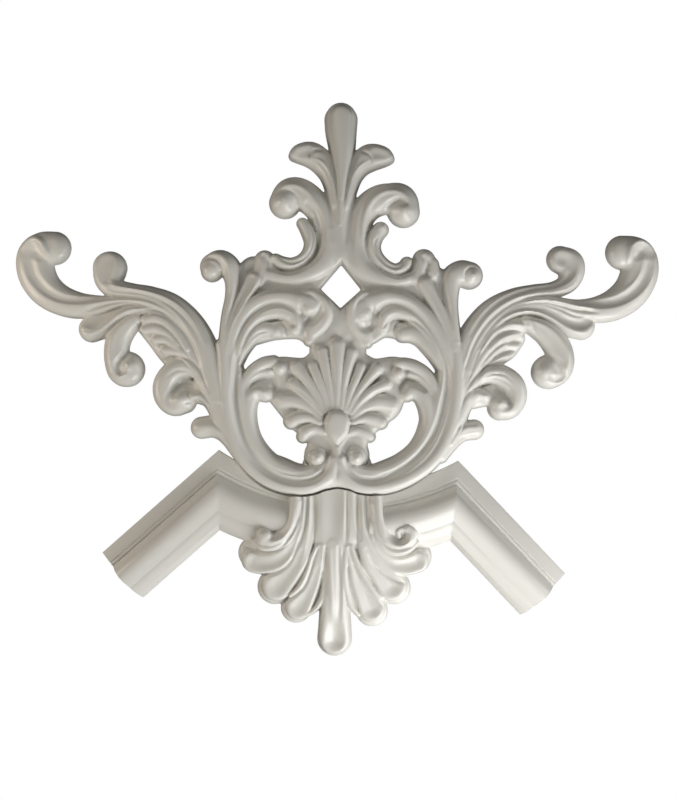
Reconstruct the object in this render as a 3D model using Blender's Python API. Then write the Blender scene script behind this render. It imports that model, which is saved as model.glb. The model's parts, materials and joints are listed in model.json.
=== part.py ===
"""Corner ornament of a wall-panel moulding, cast in rigid foam: an openwork acanthus crest above a mitred
corner moulding with a shell palmette. The front faces -Y, +X is to the right, +Z is up, and both castings
lie with flat backs on the wall plane Y = 0. The origin is on the crest's back, behind its cabochon.

Carving is laid on as strokes. A stroke is a smooth line through a few rows of (outwards, up, half width,
height), in millimetres of the drawing, and leaves a rounded ridge on the casting. Each stroke is drawn for
the left half and mirrored, and the right half is then eased to where the casting's own right half lies.
"""

import math

import bmesh
import bpy
import numpy as np
from mathutils import Matrix, Vector

# Driving sizes, in metres and degrees
MM = 0.001
JOINT_GAP = 0.0005
JOINT_OPENS_DEG = 0.6
JOINT_PIVOT = (0.117, -0.028)
CORNER_DROP = 0.078
CORNER_SHIFT = 0.0005
CORNER_LAY_DEG = 1.65
MOULDING_WIDTH = 0.060
MOULDING_CROWN = 0.0242
FILLET_WIDTH = 0.013
FILLET_HEIGHT = 0.0100
QUIRK_WIDTH = 0.0016
QUIRK_DEPTH = 0.0025
BEAD_WIDTH = 0.0026
BEAD_RISE = 0.0015
STEP_PLACE = 0.044
STEP_DROP = 0.0018
STEP_WIDTH = 0.0004
SHOULDER_DROP = 0.0075
TORUS_SWELL = 0.0080
FILLET_ROUND = 0.0010
EDGE_HEIGHT = 0.0035
ARM_LENGTH = 0.1555
ARM_FALL_DEG = 45.0
MITRE_REACH = 0.121
MITRE_RISE = 0.044
MITRE_LEAN_DEG = 3.2
BOW_CENTRE_HEIGHT = 0.244
BOW_END = 0.034
DIAMOND_TOP = 0.1585
DIAMOND_HALF_WIDTH = 0.0198
DIAMOND_WAIST = 0.1335
DIAMOND_FOOT = 0.115

# How the castings are cut: walls lean in by one in WALL_DRAFT, and no ridge starts lower than LEAST_FOOT
WALL_DRAFT = 5.0
LEAST_FOOT = 0.003
RIDGE_DROP = 1.25
BALL_DROP = 1.0
HOLLOW_FLOOR = 0.004
HOLLOW_SPREAD = 1.6
STROKE_STEP = 2.5
STROKE_MARGIN = 0.015
LEAST_HALF_WIDTH = 0.0005
EASE_REACH = 0.013
EASE_LEAST = 1e-6

# Fineness of the solids
CREST_PITCH = 0.0024
PALMETTE_PITCH = 0.0024
CREST_FACES = 4600
PALMETTE_FACES = 1900
BOW_STATIONS = 9
TORUS_STEPS = 8
BAND_STEPS = 4
BACK_SPARE = 0.004
CUTTER_DEPTH = 0.060
GROUND = -0.040
CUTTER_STEEPNESS = 20.0
JOINT_TOP = -0.015
SHARP_DEG = 45.0
MERGE = 1e-7
SHORT_EDGE = 1e-5

# Moulding section: where the quirk's side and the bead's flank lie, as shares of their own width and rise,
# how far the torus leans outwards and how hollow the inner band is
QUIRK_SIDE = 0.4
BEAD_FLANK = (0.3, 0.8)
BEAD_CROWN = 0.6
TORUS_LEAN = 0.86
BAND_HOLLOW = 1.9

# Each drawing's frame: its shift to the right, its rise and its lay, clockwise
CREST_FRAME = (0.0, 0.0, 0.0)
CORNER_FRAME = (CORNER_SHIFT, -CORNER_DROP, math.radians(CORNER_LAY_DEG))

# Foam with a gloss emulsion coat
COAT_COLOUR = (0.72, 0.69, 0.62, 1.0)
COAT_ROUGHNESS = 0.32

# Wing: the tip volute, spoon, blunt lobe, hook, fingers, big curl and low lobe, out to the root
WING_STROKES = {
    "volute_tongue": [(306, 159, 8, 9), (301, 149, 12, 11.5), (293, 137, 10, 12.5), (282, 127, 8, 13),
        (265, 121.5, 6.4, 13.5), (245, 121, 5, 14), (225, 124.3, 3.5, 15), (208, 124.3, 2.5, 16.5),
        (195, 122.8, 2.5, 17.5), (180, 118.5, 2.5, 18), (165, 110.5, 2.6, 18.5), (152, 99.5, 2.8, 19),
        (141, 84, 3, 19), (131, 60, 3, 19), (123, 32, 3, 19)],
    "volute_band": [(280.5, 163, 6.5, 12), (283, 170, 10.5, 16), (293, 178.5, 9, 16), (303, 179.5, 8, 16),
        (312, 175, 7.5, 16), (318, 166, 7.8, 16), (319.5, 154, 7.5, 15.5), (315, 140, 7, 15),
        (306, 127, 6.8, 14.5), (292, 115.5, 6.6, 14), (276, 109.5, 6.4, 14), (258, 108, 6.2, 14.5),
        (240, 112, 5, 15), (222, 118.6, 2.9, 16), (208, 120.4, 2.3, 17), (195, 119.2, 2.3, 17.8),
        (180, 114.8, 2.4, 18.2), (165, 106.8, 2.6, 18.6), (152, 95, 2.8, 19), (141, 79, 3, 19),
        (131, 54, 3, 19), (123, 26, 3, 19)],
    "spoon_bowl": [(232.5, 151, 17, 10), (231, 140, 13, 11), (226, 134, 8, 12)],
    "spoon_right_rim": [(234, 163.5, 3.5, 14), (225, 164, 4, 14.5), (219.5, 158, 4, 15),
        (220, 149, 4.2, 15), (219, 142.5, 4.5, 15), (210, 138, 4, 15.5), (198, 134.6, 4, 16.5),
        (185, 132, 4.2, 17), (170, 127, 4.6, 17.5), (155, 118.5, 5, 17.5), (142, 106, 5.5, 17.5),
        (132, 92, 5, 18), (125, 72, 4, 18.5), (119.5, 45, 3.5, 19), (115.5, 15, 3, 19)],
    "spoon_left_rim": [(236, 162.5, 3.5, 13), (244, 159, 4, 13), (246, 151, 4, 13), (243.5, 141, 4, 13.5),
        (238, 133, 4, 14), (228, 130.5, 3.2, 15), (212, 129.5, 3, 16), (197, 127.5, 2.8, 17),
        (180, 122.6, 2.8, 18), (165, 114.8, 2.9, 18.5), (152, 104, 3, 19), (141, 89, 3, 19),
        (132, 70, 3, 19), (124, 42, 3, 19), (118, 12, 3, 19)],
    "blunt_bowl": [(250, 91, 13.5, 8.5), (240, 93, 12, 10), (229, 102, 7, 12)],
    "blunt_top_ridge": [(247, 104.5, 3.5, 13), (236, 106.5, 3.5, 14), (225, 111.5, 3.2, 15),
        (212, 115.6, 3, 16.5), (198, 116, 2.6, 17.5), (184, 112.6, 2.6, 18), (169, 104.5, 2.7, 18.5),
        (155, 93, 2.8, 19), (144, 77, 3, 19), (134, 54, 3, 19)],
    "blunt_low_rim": [(258.5, 96, 4, 13), (256.5, 88, 4.8, 13.5), (249, 82.5, 5.2, 13.5),
        (240, 83.5, 5.4, 14), (230.5, 90, 4.6, 14.5), (221, 99, 3.8, 15.5), (211, 107, 3.2, 16.5),
        (199, 111, 2.8, 17.5), (187, 110.8, 2.6, 18), (174, 106.2, 2.6, 18.5), (160, 96.5, 2.8, 18.8),
        (148, 82, 3, 19), (138, 64, 3, 19)],
    "hook_stem": [(206, 41, 6.5, 15), (215, 41.5, 8.5, 15), (223.5, 47.5, 9.5, 15), (226.5, 58, 10, 15),
        (225, 70, 11.2, 15), (220, 84, 10.5, 15.5), (211, 96.5, 7.6, 16), (199, 104.3, 4.6, 17),
        (186, 105.8, 3.2, 18), (173, 100.8, 3, 18.5), (160, 90.5, 3, 18.8), (149, 77, 3, 19),
        (139, 58, 3, 19), (131, 36, 3, 19)],
    "hook_flank": [(210, 70, 3, 7), (211, 79, 4.4, 9), (207, 87.5, 5, 10), (198, 89.5, 5, 10)],
    "finger_1": [(198.5, 100, 3.6, 13.5), (188, 101.8, 4, 15.5), (175, 100, 4, 16.8),
        (162, 92.5, 3.7, 17.8), (151, 80.5, 3.3, 18.5), (142, 66, 3, 19), (134, 46, 3, 19)],
    "finger_2": [(197, 93, 3.2, 12), (185, 94, 3.4, 14), (172, 92, 3.4, 16), (159, 84.5, 3.2, 17),
        (148, 72.5, 3, 18), (140, 58, 3, 18.5), (132, 38, 3, 19)],
    "finger_3": [(181, 81.5, 5, 12.5), (170, 83, 5, 14.5), (158, 78, 4.4, 16), (147, 67, 3.6, 17.5),
        (139, 53, 3, 18.5), (131, 34, 3, 19)],
    "finger_4": [(169.5, 66, 4.6, 12.5), (160, 67.5, 4.2, 14.5), (150, 61, 3.8, 16), (142, 50, 3.2, 17.5),
        (134, 34, 3, 18.5), (127, 16, 3, 19)],
    "finger_web": [(199, 86, 4, 7), (190, 84, 8, 8), (183, 75, 8, 8), (177, 65, 7, 8), (172, 57, 6, 8),
        (160, 60, 8, 9), (166, 75, 8, 8)],
    "big_curl": [(166, 9.5, 6, 15.5), (174.5, 14, 7.5, 16), (179.5, 25, 7.8, 16), (177, 36, 8.2, 16),
        (169, 46, 8, 16.5), (157, 50.5, 7, 17), (145, 44, 6.5, 17.5), (134, 28, 5.5, 18),
        (124, 5, 4.5, 18.5), (114, -18, 4, 19)],
    "big_curl_web": [(158, 28, 13, 8), (145, 32, 10, 9), (138, 22, 8, 9)],
    "curl_leaf": [(145.5, 23, 3.8, 12), (138, 25, 4.4, 14), (130, 17, 4.6, 16), (123, 2, 4, 17.5),
        (115, -16, 3.6, 18.5)],
    "low_lobe": [(138.5, -9, 8.8, 12.5), (128, -9, 8.6, 14), (119, -13, 6.5, 16), (111, -25, 5.5, 17.5),
        (99, -40, 5, 18.5), (84, -52, 5, 19), (66, -62, 4.5, 19), (46, -67, 4, 19)],
    "volute_web": [(311, 168, 9, 6), (302, 167, 9, 6), (295, 162, 8, 6)],
    "hook_web": [(212, 55, 9, 6), (216, 48, 9, 6)],
}

# Ring scroll: the bundle from the root round the foot, the curls over the slot and the inner leaves
RING_STROKES = {
    "root_web": [(128, 70, 12, 12), (126, 40, 12, 14), (120, 10, 12, 14), (110, -15, 12, 14),
        (96, -33, 12, 14), (78, -48, 12, 14), (58, -57, 11, 13), (38, -60, 9, 12)],
    "ring_outer": [(112, 104, 6, 18.5), (115.5, 80, 5, 20), (117, 55, 4.6, 20.5), (115.5, 30, 4.6, 20.5),
        (111, 6, 4.6, 20.5), (103.5, -15, 4.8, 20.5), (92, -34, 5, 20.5), (76, -50, 5.2, 20.5),
        (57, -60.5, 6, 20.5), (40, -64, 7, 21), (25, -63, 7.5, 21.5), (12, -56, 7.5, 21.5),
        (4, -45, 6, 21)],
    "ring_mid": [(108, 62, 3.6, 20), (108.3, 40, 3.8, 20), (106, 20, 3.8, 20), (101, 0, 3.8, 20),
        (93, -18, 3.8, 19.5), (82, -34, 3.8, 19), (68, -47, 3.6, 18.5), (52, -54.5, 3, 18)],
    "ring_bead": [(103, 60, 2.4, 17.5), (103.3, 42, 2.4, 17.5), (101, 22, 2.4, 17.5), (96, 3, 2.6, 17.5),
        (89, -14, 2.6, 17.5), (79, -29.5, 2.8, 17.5), (66, -42, 3, 17.5), (51, -50.5, 3, 17.5),
        (36, -53.5, 3, 17.5), (23, -51, 3, 17.5), (14, -44.5, 3, 17.5), (9.5, -34, 3, 17.5),
        (13, -24.5, 3, 17.5), (21, -22, 2.6, 17), (28, -26.5, 2.2, 16)],
    "ring_cove": [(101, 48, 4, 11), (97.5, 25, 6, 12), (91.5, 4, 7.5, 12), (85, -13, 7.5, 11.5),
        (75, -29, 7, 11), (62, -41, 6.5, 10.5), (46, -48, 6, 10), (34, -47, 6, 9)],
    "c_leaf": [(74.5, 30, 5.5, 13), (83, 30.5, 6.5, 14), (90.5, 22, 6, 14.5), (92.5, 7, 5.5, 15),
        (89.5, -9, 4.8, 15), (82.5, -24, 4, 14.5), (71, -36.5, 3.5, 14)],
    "c_leaf_web": [(66, 33, 9, 8), (78, 42, 9, 8), (93, 42, 8, 9), (99, 20, 5, 10)],
    "slot_strand_1": [(101, 36, 3, 14), (96, 49, 3.8, 14), (87, 57, 4.2, 14), (76, 60, 4.2, 14),
        (67, 58, 4.2, 14)],
    "slot_strand_2": [(101, 24, 2.6, 13), (96.5, 38, 3.2, 13.5), (87, 47, 3.4, 13.5), (76, 51, 3.6, 13.5),
        (66, 49.5, 3.6, 13)],
    "slot_web": [(97, 52, 4, 8), (84, 57, 6, 8), (70, 58, 6.5, 8), (55, 58, 6.5, 8), (40, 58, 6, 8),
        (31, 63, 6, 8)],
    "ring_top_1": [(112, 60, 4, 20), (109, 82, 5, 20), (101, 103, 6, 19), (88, 118, 6.6, 18.5),
        (71, 127, 6.6, 18.5), (53, 130, 6.4, 18.5), (38, 128, 6.2, 18.5), (26.5, 121.5, 6, 18.5),
        (21, 112, 5.6, 18), (24.5, 104, 4.6, 17.5)],
    "ring_top_2": [(107.5, 60, 3, 19.5), (104, 80, 3.6, 18.5), (95.5, 97, 4.4, 17.5), (83, 110, 4.8, 17),
        (69, 117, 4.8, 17), (56, 118.5, 4.8, 17), (46, 114.5, 4.4, 17), (40.5, 106, 4, 16.5),
        (42, 98, 3.6, 15.5)],
    "ring_top_3": [(103, 58, 2.6, 18), (98.5, 74, 3, 16.5), (90, 89, 3.8, 15.5), (79, 99, 4.2, 15),
        (67.5, 104.5, 4.4, 15), (57.5, 103, 4.2, 15), (51.5, 96.5, 3.8, 14.5), (50.5, 91, 3.2, 13.5)],
    "ring_top_4": [(98, 56, 2.4, 14), (94, 68, 3, 13.5), (87, 80, 3.8, 13.5), (77.5, 89, 4.6, 13.5),
        (68.5, 92, 4.6, 13.5), (63.5, 89.5, 4, 13)],
    "ring_top_web": [(98, 90, 10, 11), (84, 102, 12, 11), (66, 108, 13, 11), (48, 106, 13, 11),
        (38, 117, 9, 11), (34, 104, 12, 9), (24, 108, 10, 8)],
    "slot_top_web": [(90, 78, 4.5, 8), (80, 85.5, 5, 8), (68, 86, 5, 8), (55, 91, 5, 8), (45, 90, 6, 8),
        (36, 92, 8, 8)],
    "bridge": [(0, 104, 6, 12), (7, 103, 6.5, 13.5), (15, 96, 6, 14), (24, 89, 5, 13),
        (31, 86.5, 3.5, 10.5)],
    "bridge_web": [(0, 95, 14, 8), (15, 88, 11, 8), (24, 80, 7, 8), (26, 70, 5, 8)],
    "diamond_low": [(21, 127, 5.5, 12), (13, 118, 6, 12), (4, 108.5, 6, 12)],
    "waist_web": [(97, 130, 8, 9), (85, 134, 8, 9), (70, 138, 7, 9), (52, 139, 6.5, 9), (36, 138, 6.5, 9),
        (24, 137, 7, 9), (12, 145, 8, 9), (4, 125, 9, 9)],
    "slot_eye_web": [(62, 52, 6, 7), (62, 42, 8, 7), (66, 36, 7, 7)],
    "foot_web": [(4, -30, 10, 9), (4, -44, 10, 11), (12, -52, 8, 11), (26, -48, 8, 9)],
}

# Small palmette: petals that fan out from the cabochon
PETAL_STROKES = {
    "petal_0": [(1, 15, 3.4, 16), (1, 38, 5, 16.5), (1, 58, 6.8, 16), (1, 76, 7.2, 14)],
    "petal_1": [(5, 14, 2.8, 16), (8.5, 35, 3.4, 16), (12.5, 54, 4.2, 15), (15.5, 68, 5, 13)],
    "petal_2": [(9, 12, 2.8, 16), (15, 31, 3.6, 16), (21.5, 45, 4.2, 15), (27, 53.5, 4.8, 13)],
    "petal_3": [(12, 10, 3, 16), (21, 27, 4, 16), (32, 40, 4.8, 15), (42, 49.5, 6, 14)],
    "petal_4": [(14, 7, 3, 16), (25, 21, 4.2, 16), (36, 31, 4.8, 15), (46, 36.5, 5.2, 13.5)],
    "petal_5": [(15, 3, 3.2, 16), (27, 13, 4.6, 16), (37, 18, 5.6, 15.5), (42, 19, 5.6, 14.5)],
    "petal_6": [(26, 18, 4, 14), (40, 25, 5, 14), (52, 25, 6.5, 13.5), (58, 19, 6.5, 12)],
    "petal_7": [(15, -2, 3.4, 16), (27, 3.5, 4.8, 16), (38, 5, 5.4, 15.5), (49, 2, 5.2, 14)],
    "petal_8": [(5, -22, 3, 15), (12, -13, 4, 16), (22, -8, 5.4, 16), (32, -8.5, 5.8, 15),
        (38, -13, 5, 13)],
    "petal_web": [(5, 70, 14, 7), (22, 60, 9, 7), (14, 50, 14, 8), (24, 35, 16, 9), (48, 47, 8, 7),
        (38, 42, 14, 8), (45, 20, 14, 8), (38, 0, 13, 9), (26, -8, 13, 9), (16, -18, 12, 10)],
}

# Upper body: heart scroll, upright leaf, C-shaped strands, top scroll and finial leaf
TOP_STROKES = {
    "heart_stem": [(112, 100, 6, 18), (109, 122, 6.5, 17), (108, 138, 7.4, 16.5),
        (111.5, 151.5, 8.6, 16.5), (118.5, 160, 9.4, 16.5), (127, 161, 8.6, 16.5)],
    "heart_web": [(103, 156, 8, 8), (96, 152, 8, 8), (98, 135, 9, 9), (104, 115, 9, 11)],
    "upright_leaf": [(88, 142.5, 6.2, 15), (90.5, 132, 6.8, 16), (97, 117, 6.4, 17), (103.5, 100, 5, 18),
        (109, 80, 3.8, 19)],
    "upright_rib": [(84, 140, 2.4, 14), (85.5, 131.5, 2.6, 15.5), (92, 117, 2.6, 16.5),
        (99.5, 101, 2.6, 17.5), (106.5, 80, 2.6, 18.5)],
    "top_lobe": [(78, 163.5, 8.6, 13), (76, 154, 7, 13.5), (70, 147, 5, 13.5)],
    "top_web": [(88, 155, 9, 8), (75, 152, 12, 9), (60, 155, 11, 9), (45, 153, 11, 10), (32, 160, 11, 10),
        (24, 172, 12, 11), (22, 190, 13, 11), (22, 210, 14, 11), (26, 225, 14, 11)],
    "plain_band": [(7, 235, 7, 14), (7, 205, 10, 15), (8, 185, 12, 15.5), (14, 166, 12, 15.5),
        (29, 151.5, 9, 15), (48, 145.5, 6, 14), (66, 143.5, 5, 13), (80, 138, 4, 12)],
    "c_strand_1": [(66.5, 158, 3.4, 12), (60.5, 152.6, 3.4, 13), (48, 150.6, 3.2, 14),
        (36.5, 155, 3.2, 15), (27.5, 164.5, 3.1, 16), (22, 178, 3.1, 16.5), (21.8, 193, 3.1, 17),
        (25, 207, 3.4, 17), (32, 218, 4, 17), (42, 225, 4, 16.5)],
    "c_strand_2": [(62.5, 161.5, 3, 12), (56, 158.5, 3, 12.5), (48, 157.2, 3, 13), (39.5, 160, 3.1, 13.5),
        (32.5, 168, 3.3, 14), (29.5, 179, 3.5, 14.5), (32.5, 190, 4, 14.5), (39.5, 199, 3.8, 14)],
    "c_edge": [(57, 163, 3, 9), (48, 164.5, 3, 9), (40, 169.5, 3.2, 9), (36.5, 180, 3, 9),
        (38, 190, 3, 9)],
    "top_scroll": [(11, 200, 6, 16), (15, 218, 8, 17), (26, 232.5, 9, 17.5), (40, 238, 8, 18),
        (54, 236.5, 7.6, 18), (63.5, 229, 7.4, 18), (65, 219, 7, 17.5)],
    "finial_leaf": [(10, 222, 5, 15), (13, 238, 7, 15), (18, 254, 9.5, 15), (27, 265, 11.6, 15),
        (36, 270, 11.4, 14.5), (44, 270, 7.8, 13.5), (50, 266.5, 3, 11)],
    "scroll_web": [(50, 222, 8, 8), (42, 222, 7, 8)],
    "finial_leaf_fold": [(27, 265, 7.4, 17), (20, 257, 6, 17), (14, 244, 5, 17), (9, 226, 4, 17)],
}

# On the axis: finial club, column and cabochon
AXIS_STROKES = {
    "club_rim": [(1, 258, 10, 14), (1.2, 278, 12.6, 15), (1.4, 292, 15.2, 15.5),
        (1.5, 305.5, 16.4, 15.5)],
    "club_face": [(0, 212, 1.6, 18), (0.5, 235, 4.2, 19), (1, 260, 7, 20), (1.2, 285, 10, 21),
        (1.4, 303, 12.6, 20.5)],
    "column_web": [(0, 250, 12, 11), (0, 215, 12, 11), (0, 190, 14, 12), (0, 175, 14, 11)],
    "cabochon_rim": [(1.2, -1, 15.8, 17.5), (1.4, -8, 13.2, 17.5), (1.8, -16, 8.4, 17.5),
        (2, -22.5, 3.4, 17.5)],
    "cabochon": [(1.2, -1, 12.4, 25), (1.4, -8, 10.4, 24), (1.8, -14.5, 6.4, 22), (2, -18, 4, 20)],
}

# Bulbs at the ends of the scrolls
CREST_BALLS = {
    "volute_ball": (284.5, 169.5, 12.6, 17.5),
    "hook_ball": (206, 50.5, 10.6, 16.5),
    "curl_ball": (159.5, 19, 10.6, 17),
    "heart_ball": (130.5, 150, 10.6, 18.5),
    "scroll_ball": (59.5, 216.8, 12, 20),
    "ring_top_ball": (30, 111.5, 8.4, 20),
    "ring_ball": (19, -34.5, 9.5, 20),
    "slot_ball": (59.5, 52, 5.6, 15.5),
    "petal_ball": (43, 51, 5.4, 15),
}

# Hollows, whose last number is their depth
CREST_HOLLOWS = {
    "volute_eye": [(309, 166, 6, 5), (303, 169, 6, 5), (299, 163, 5, 4)],
    "spoon_dish": [(233, 153, 9, 2)],
    "hook_eye": [(216, 53, 6, 5), (213, 47, 5, 3)],
    "curl_eye": [(158, 36, 7, 6), (147, 35, 7, 6), (170, 27, 5, 4)],
    "scroll_eye": [(62, 229, 4, 3), (52, 226, 5, 4), (47, 218, 5, 4)],
    "heart_eye": [(122, 156, 4, 3)],
}

# Places on the left half, and how far the right half lies from their mirror image, outwards and up
CREST_RIGHT_EASE = [
    (293, 188, -5, 4), (327, 156, -6, 4), (264, 99, -5, 4), (287, 146, -3, 9), (300, 113, -3, 4),
    (272, 170, -6, 2), (250, 127, -4, 1.5), (228, 168, -6, 13), (250, 155, -4, 5), (215, 158, -7, 12),
    (217.5, 144, -1, 6.5), (243, 127, -11, 2.5), (262.5, 97, -5, 10), (250, 77, 2, 15), (236, 73, -3, 8),
    (236, 62, 1, 1), (211, 32.5, 1, 0.5), (195.5, 50, -2, 1.5), (208.5, 66, 3, 0), (199.5, 82, -7, 1),
    (174.5, 54, 2.5, 2), (187, 28, 2, 0), (165, 3, 0, 1.5), (137, 15.5, 2, 6), (133, 9, -3, 0),
    (147.5, -6, 0, 2), (141, -18.5, 0, 3.5), (116, -25, -4, -6), (150, 123, 0, -2), (165, 131, 0, 0.5),
    (200, 138.5, 0, 4.5), (123.5, 95, -2, -4.5), (140, 153, 3, -5), (119, 171, 5, -7), (129, 139, -1, -2),
    (116, 142, 2, -6), (93.5, 162, 7, -4), (78, 172.5, 6, 3), (60, 166, 6, -3), (48, 163.5, 6, -4.5),
    (35, 180, 3, -2), (43, 199, 5, -9), (36, 207, 1, -3), (42, 213.5, -2, -3), (57.5, 205, 4, -8),
    (72, 223, 7, -7), (48, 245, 2, -4), (16.5, 236, -1.5, -4), (53, 265, -2, -1), (34, 282, 0, -1),
    (0, 180, 0, 0), (10, 140, 0, 0), (60, 66, 0, 1.5), (94, 55.5, 1, -4), (76, 20.5, -6, 4),
    (31, -21, -2, 1), (60, 8, 2, -3), (20, -34, -1, -1), (112, 20, 0, 0), (110, 60, 0, 0),
    (60, -68, 0, -1), (200, 100, -6, 4), (182, 81, -3, -1), (170, 66, 2, 1),
]

# Shell palmette of the corner: panel, ribs and four leaves a side, in the corner's own frame
PALMETTE_STROKES = {
    "fan_web": [(10, -20, 26, 14), (12, -45, 30, 14), (14, -75, 32, 11), (9, -93, 22, 9)],
    "panel": [(0, 14, 18, 17), (0, 0, 18, 17.5), (0, -20, 18, 18.5), (0, -42, 17, 20.5)],
    "rib_1": [(24, 9, 4.4, 19), (24, -10, 4.6, 20.5), (23.5, -28, 4.8, 22), (21, -44, 4.6, 21.5)],
    "rib_2": [(32, 7, 4.2, 19.5), (32.5, -12, 4.6, 22), (34, -30, 4.6, 23)],
    "leaf_1": [(40, 7, 4.2, 20), (39.4, -10, 4.8, 24), (42.5, -25, 5.2, 25.5), (51, -35.2, 5.4, 25),
        (62, -39, 6, 24.5), (70, -37, 7, 24.5)],
    "leaf_1_rim": [(35, -18, 2.2, 20), (38.5, -31, 2.6, 21), (47, -41, 3, 21.5), (60, -46.5, 3.2, 21.5),
        (72, -46.5, 3, 20.5), (80, -42, 2.6, 19)],
    "leaf_2_web": [(50, -52, 12, 11), (65, -60, 13, 10), (76, -61, 14, 9), (83.5, -58.5, 14, 8)],
    "leaf_2_ridge": [(28, -8, 3, 19), (31, -26, 3.2, 20.5), (37, -41, 3.4, 21), (46, -52, 3.8, 20.5),
        (58, -58.5, 4.2, 19), (72, -60, 4.6, 17), (85, -56.5, 4.6, 15)],
    "leaf_2_rim": [(93, -58, 3.4, 13), (86, -67.5, 3.6, 13.5), (74, -72.5, 3.6, 14.5), (61, -70, 3.3, 16),
        (49, -61.5, 3, 17.5), (40, -50, 2.8, 19), (34, -36, 2.8, 19.5)],
    "leaf_3_web": [(40, -70, 12, 11), (50, -82, 13, 10), (60, -90.5, 15, 8.5)],
    "leaf_3_ridge": [(26, -25, 3.4, 20), (32, -46, 3.8, 20.5), (40, -61, 4.4, 20), (50, -74, 5, 18.5),
        (62, -83, 5.4, 16), (69, -87, 4.6, 14.5)],
    "leaf_3_rim": [(72.5, -90, 3.2, 12.5), (69, -98.5, 3.6, 13), (59, -102.5, 3.6, 13.5),
        (48, -98.5, 3.4, 15), (38, -88.5, 3.2, 16), (30, -74, 3, 17.5), (24.5, -58, 3, 19),
        (20.5, -42, 3, 20)],
    "leaf_4_web": [(24, -84, 11, 10), (31, -100, 12.5, 9), (38, -110.5, 14.5, 8)],
    "leaf_4_ridge": [(19, -48, 3.6, 20), (23, -66, 4.2, 19.5), (29, -84, 5, 18), (36, -98, 5.6, 16),
        (43.5, -107.5, 5.6, 14)],
    "leaf_4_rim": [(49, -113, 3.4, 12), (44, -120.5, 3.6, 12.5), (35, -121.5, 3.6, 13),
        (26, -116, 3.4, 14), (19, -104, 3.2, 15.5), (14, -86, 3, 17), (11.5, -66, 2.8, 18.5),
        (10, -48, 2.6, 19.5)],
}

# Tongue on the palmette's axis
TONGUE_STROKES = {
    "tongue_web": [(0, -60, 12, 10), (-1, -90, 12, 10), (-2, -120, 14, 9), (-3, -140, 16.6, 8)],
    "tongue": [(1, -44, 6, 19.5), (0, -70, 6, 19.5), (-1, -95, 6.4, 18.5), (-2, -118, 8, 17),
        (-3, -130, 10, 15)],
    "tongue_rim_left": [(7, -118, 3, 13), (10.4, -132, 3.2, 12.5), (9.6, -145, 3.4, 12),
        (3, -152.5, 3.6, 12), (-3, -153.6, 3.6, 12)],
    "tongue_rim_right": [(-11, -118, 3, 13), (-16.4, -132, 3.2, 12.5), (-15.6, -145, 3.4, 12),
        (-9, -152.5, 3.6, 12), (-3, -153.6, 3.6, 12)],
}

PALMETTE_BALLS = {
    "leaf_1_ball": (72, -35, 7.4, 26),
}

PALMETTE_HOLLOWS = {
    "tongue_dish": [(-3, -138, 9, 4)],
}

# The palmette's right half, in the same way
PALMETTE_RIGHT_EASE = [
    (97, -50, 0, 4), (78, -77, 0, 2), (76, -90, 2, 4), (66, -104, 2, 4), (53, -108, 3.5, 6),
    (48, -120, 5, 2), (35, -125, 6, 1.5), (20, -117, 6, 0), (14, -116, 6, -2), (72, -35, -5, 4),
    (43, 0, -1, 0), (30, 0, -4, 0), (18, 0, -6, 0), (20, -42, -8, 0), (40, -60, -2, 2), (60, -91, 2, 3),
    (25, -80, -3, 0), (36, -100, 2, 2), (10, -60, -4, 0),
]


def smooth_path(rows):
    """A smooth curve through the rows, as (x, z, half width, height) in metres."""
    rows = np.array(rows, float).reshape(-1, 4) * MM
    if len(rows) == 1:
        return np.vstack([rows, rows])
    ends = np.vstack([2 * rows[0] - rows[1], rows, 2 * rows[-1] - rows[-2]])
    pieces = []
    for before, start, stop, after in zip(ends, ends[1:], ends[2:], ends[3:]):
        length = math.hypot(*(stop - start)[:2])
        count = max(2, int(length / (STROKE_STEP * MM)))
        t = np.linspace(0, 1, count, endpoint=False)[:, None]
        pieces.append(start + 0.5 * t * (stop - before + t * (2 * before - 5 * start + 4 * stop - after)
                                         + t * t * (3 * (start - stop) + after - before)))
    path = np.vstack(pieces + [rows[-1:]])
    path[:, 2] = np.maximum(path[:, 2], LEAST_HALF_WIDTH)
    return path


def eased(path, marks):
    """The path moved by the nearest marks' offsets, each weighted by its distance."""
    marks = np.array(marks) * MM
    apart = (path[:, None, 0] - marks[None, :, 0]) ** 2 + (path[:, None, 1] - marks[None, :, 1]) ** 2
    weight = np.exp(-apart / (2 * EASE_REACH**2)) + EASE_LEAST
    moved = path.copy()
    moved[:, :2] += (weight @ marks[:, 2:]) / weight.sum(1, keepdims=True)
    return moved


def laid(path, side, frame):
    """A path of one half, side -1 for the left and 1 for the right, put into world X and Z."""
    shift, rise, lay = frame
    x = path[:, 0] * side
    z = path[:, 1]
    out = path.copy()
    out[:, 0] = shift + x * math.cos(lay) + z * math.sin(lay)
    out[:, 1] = rise - x * math.sin(lay) + z * math.cos(lay)
    return out


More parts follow.
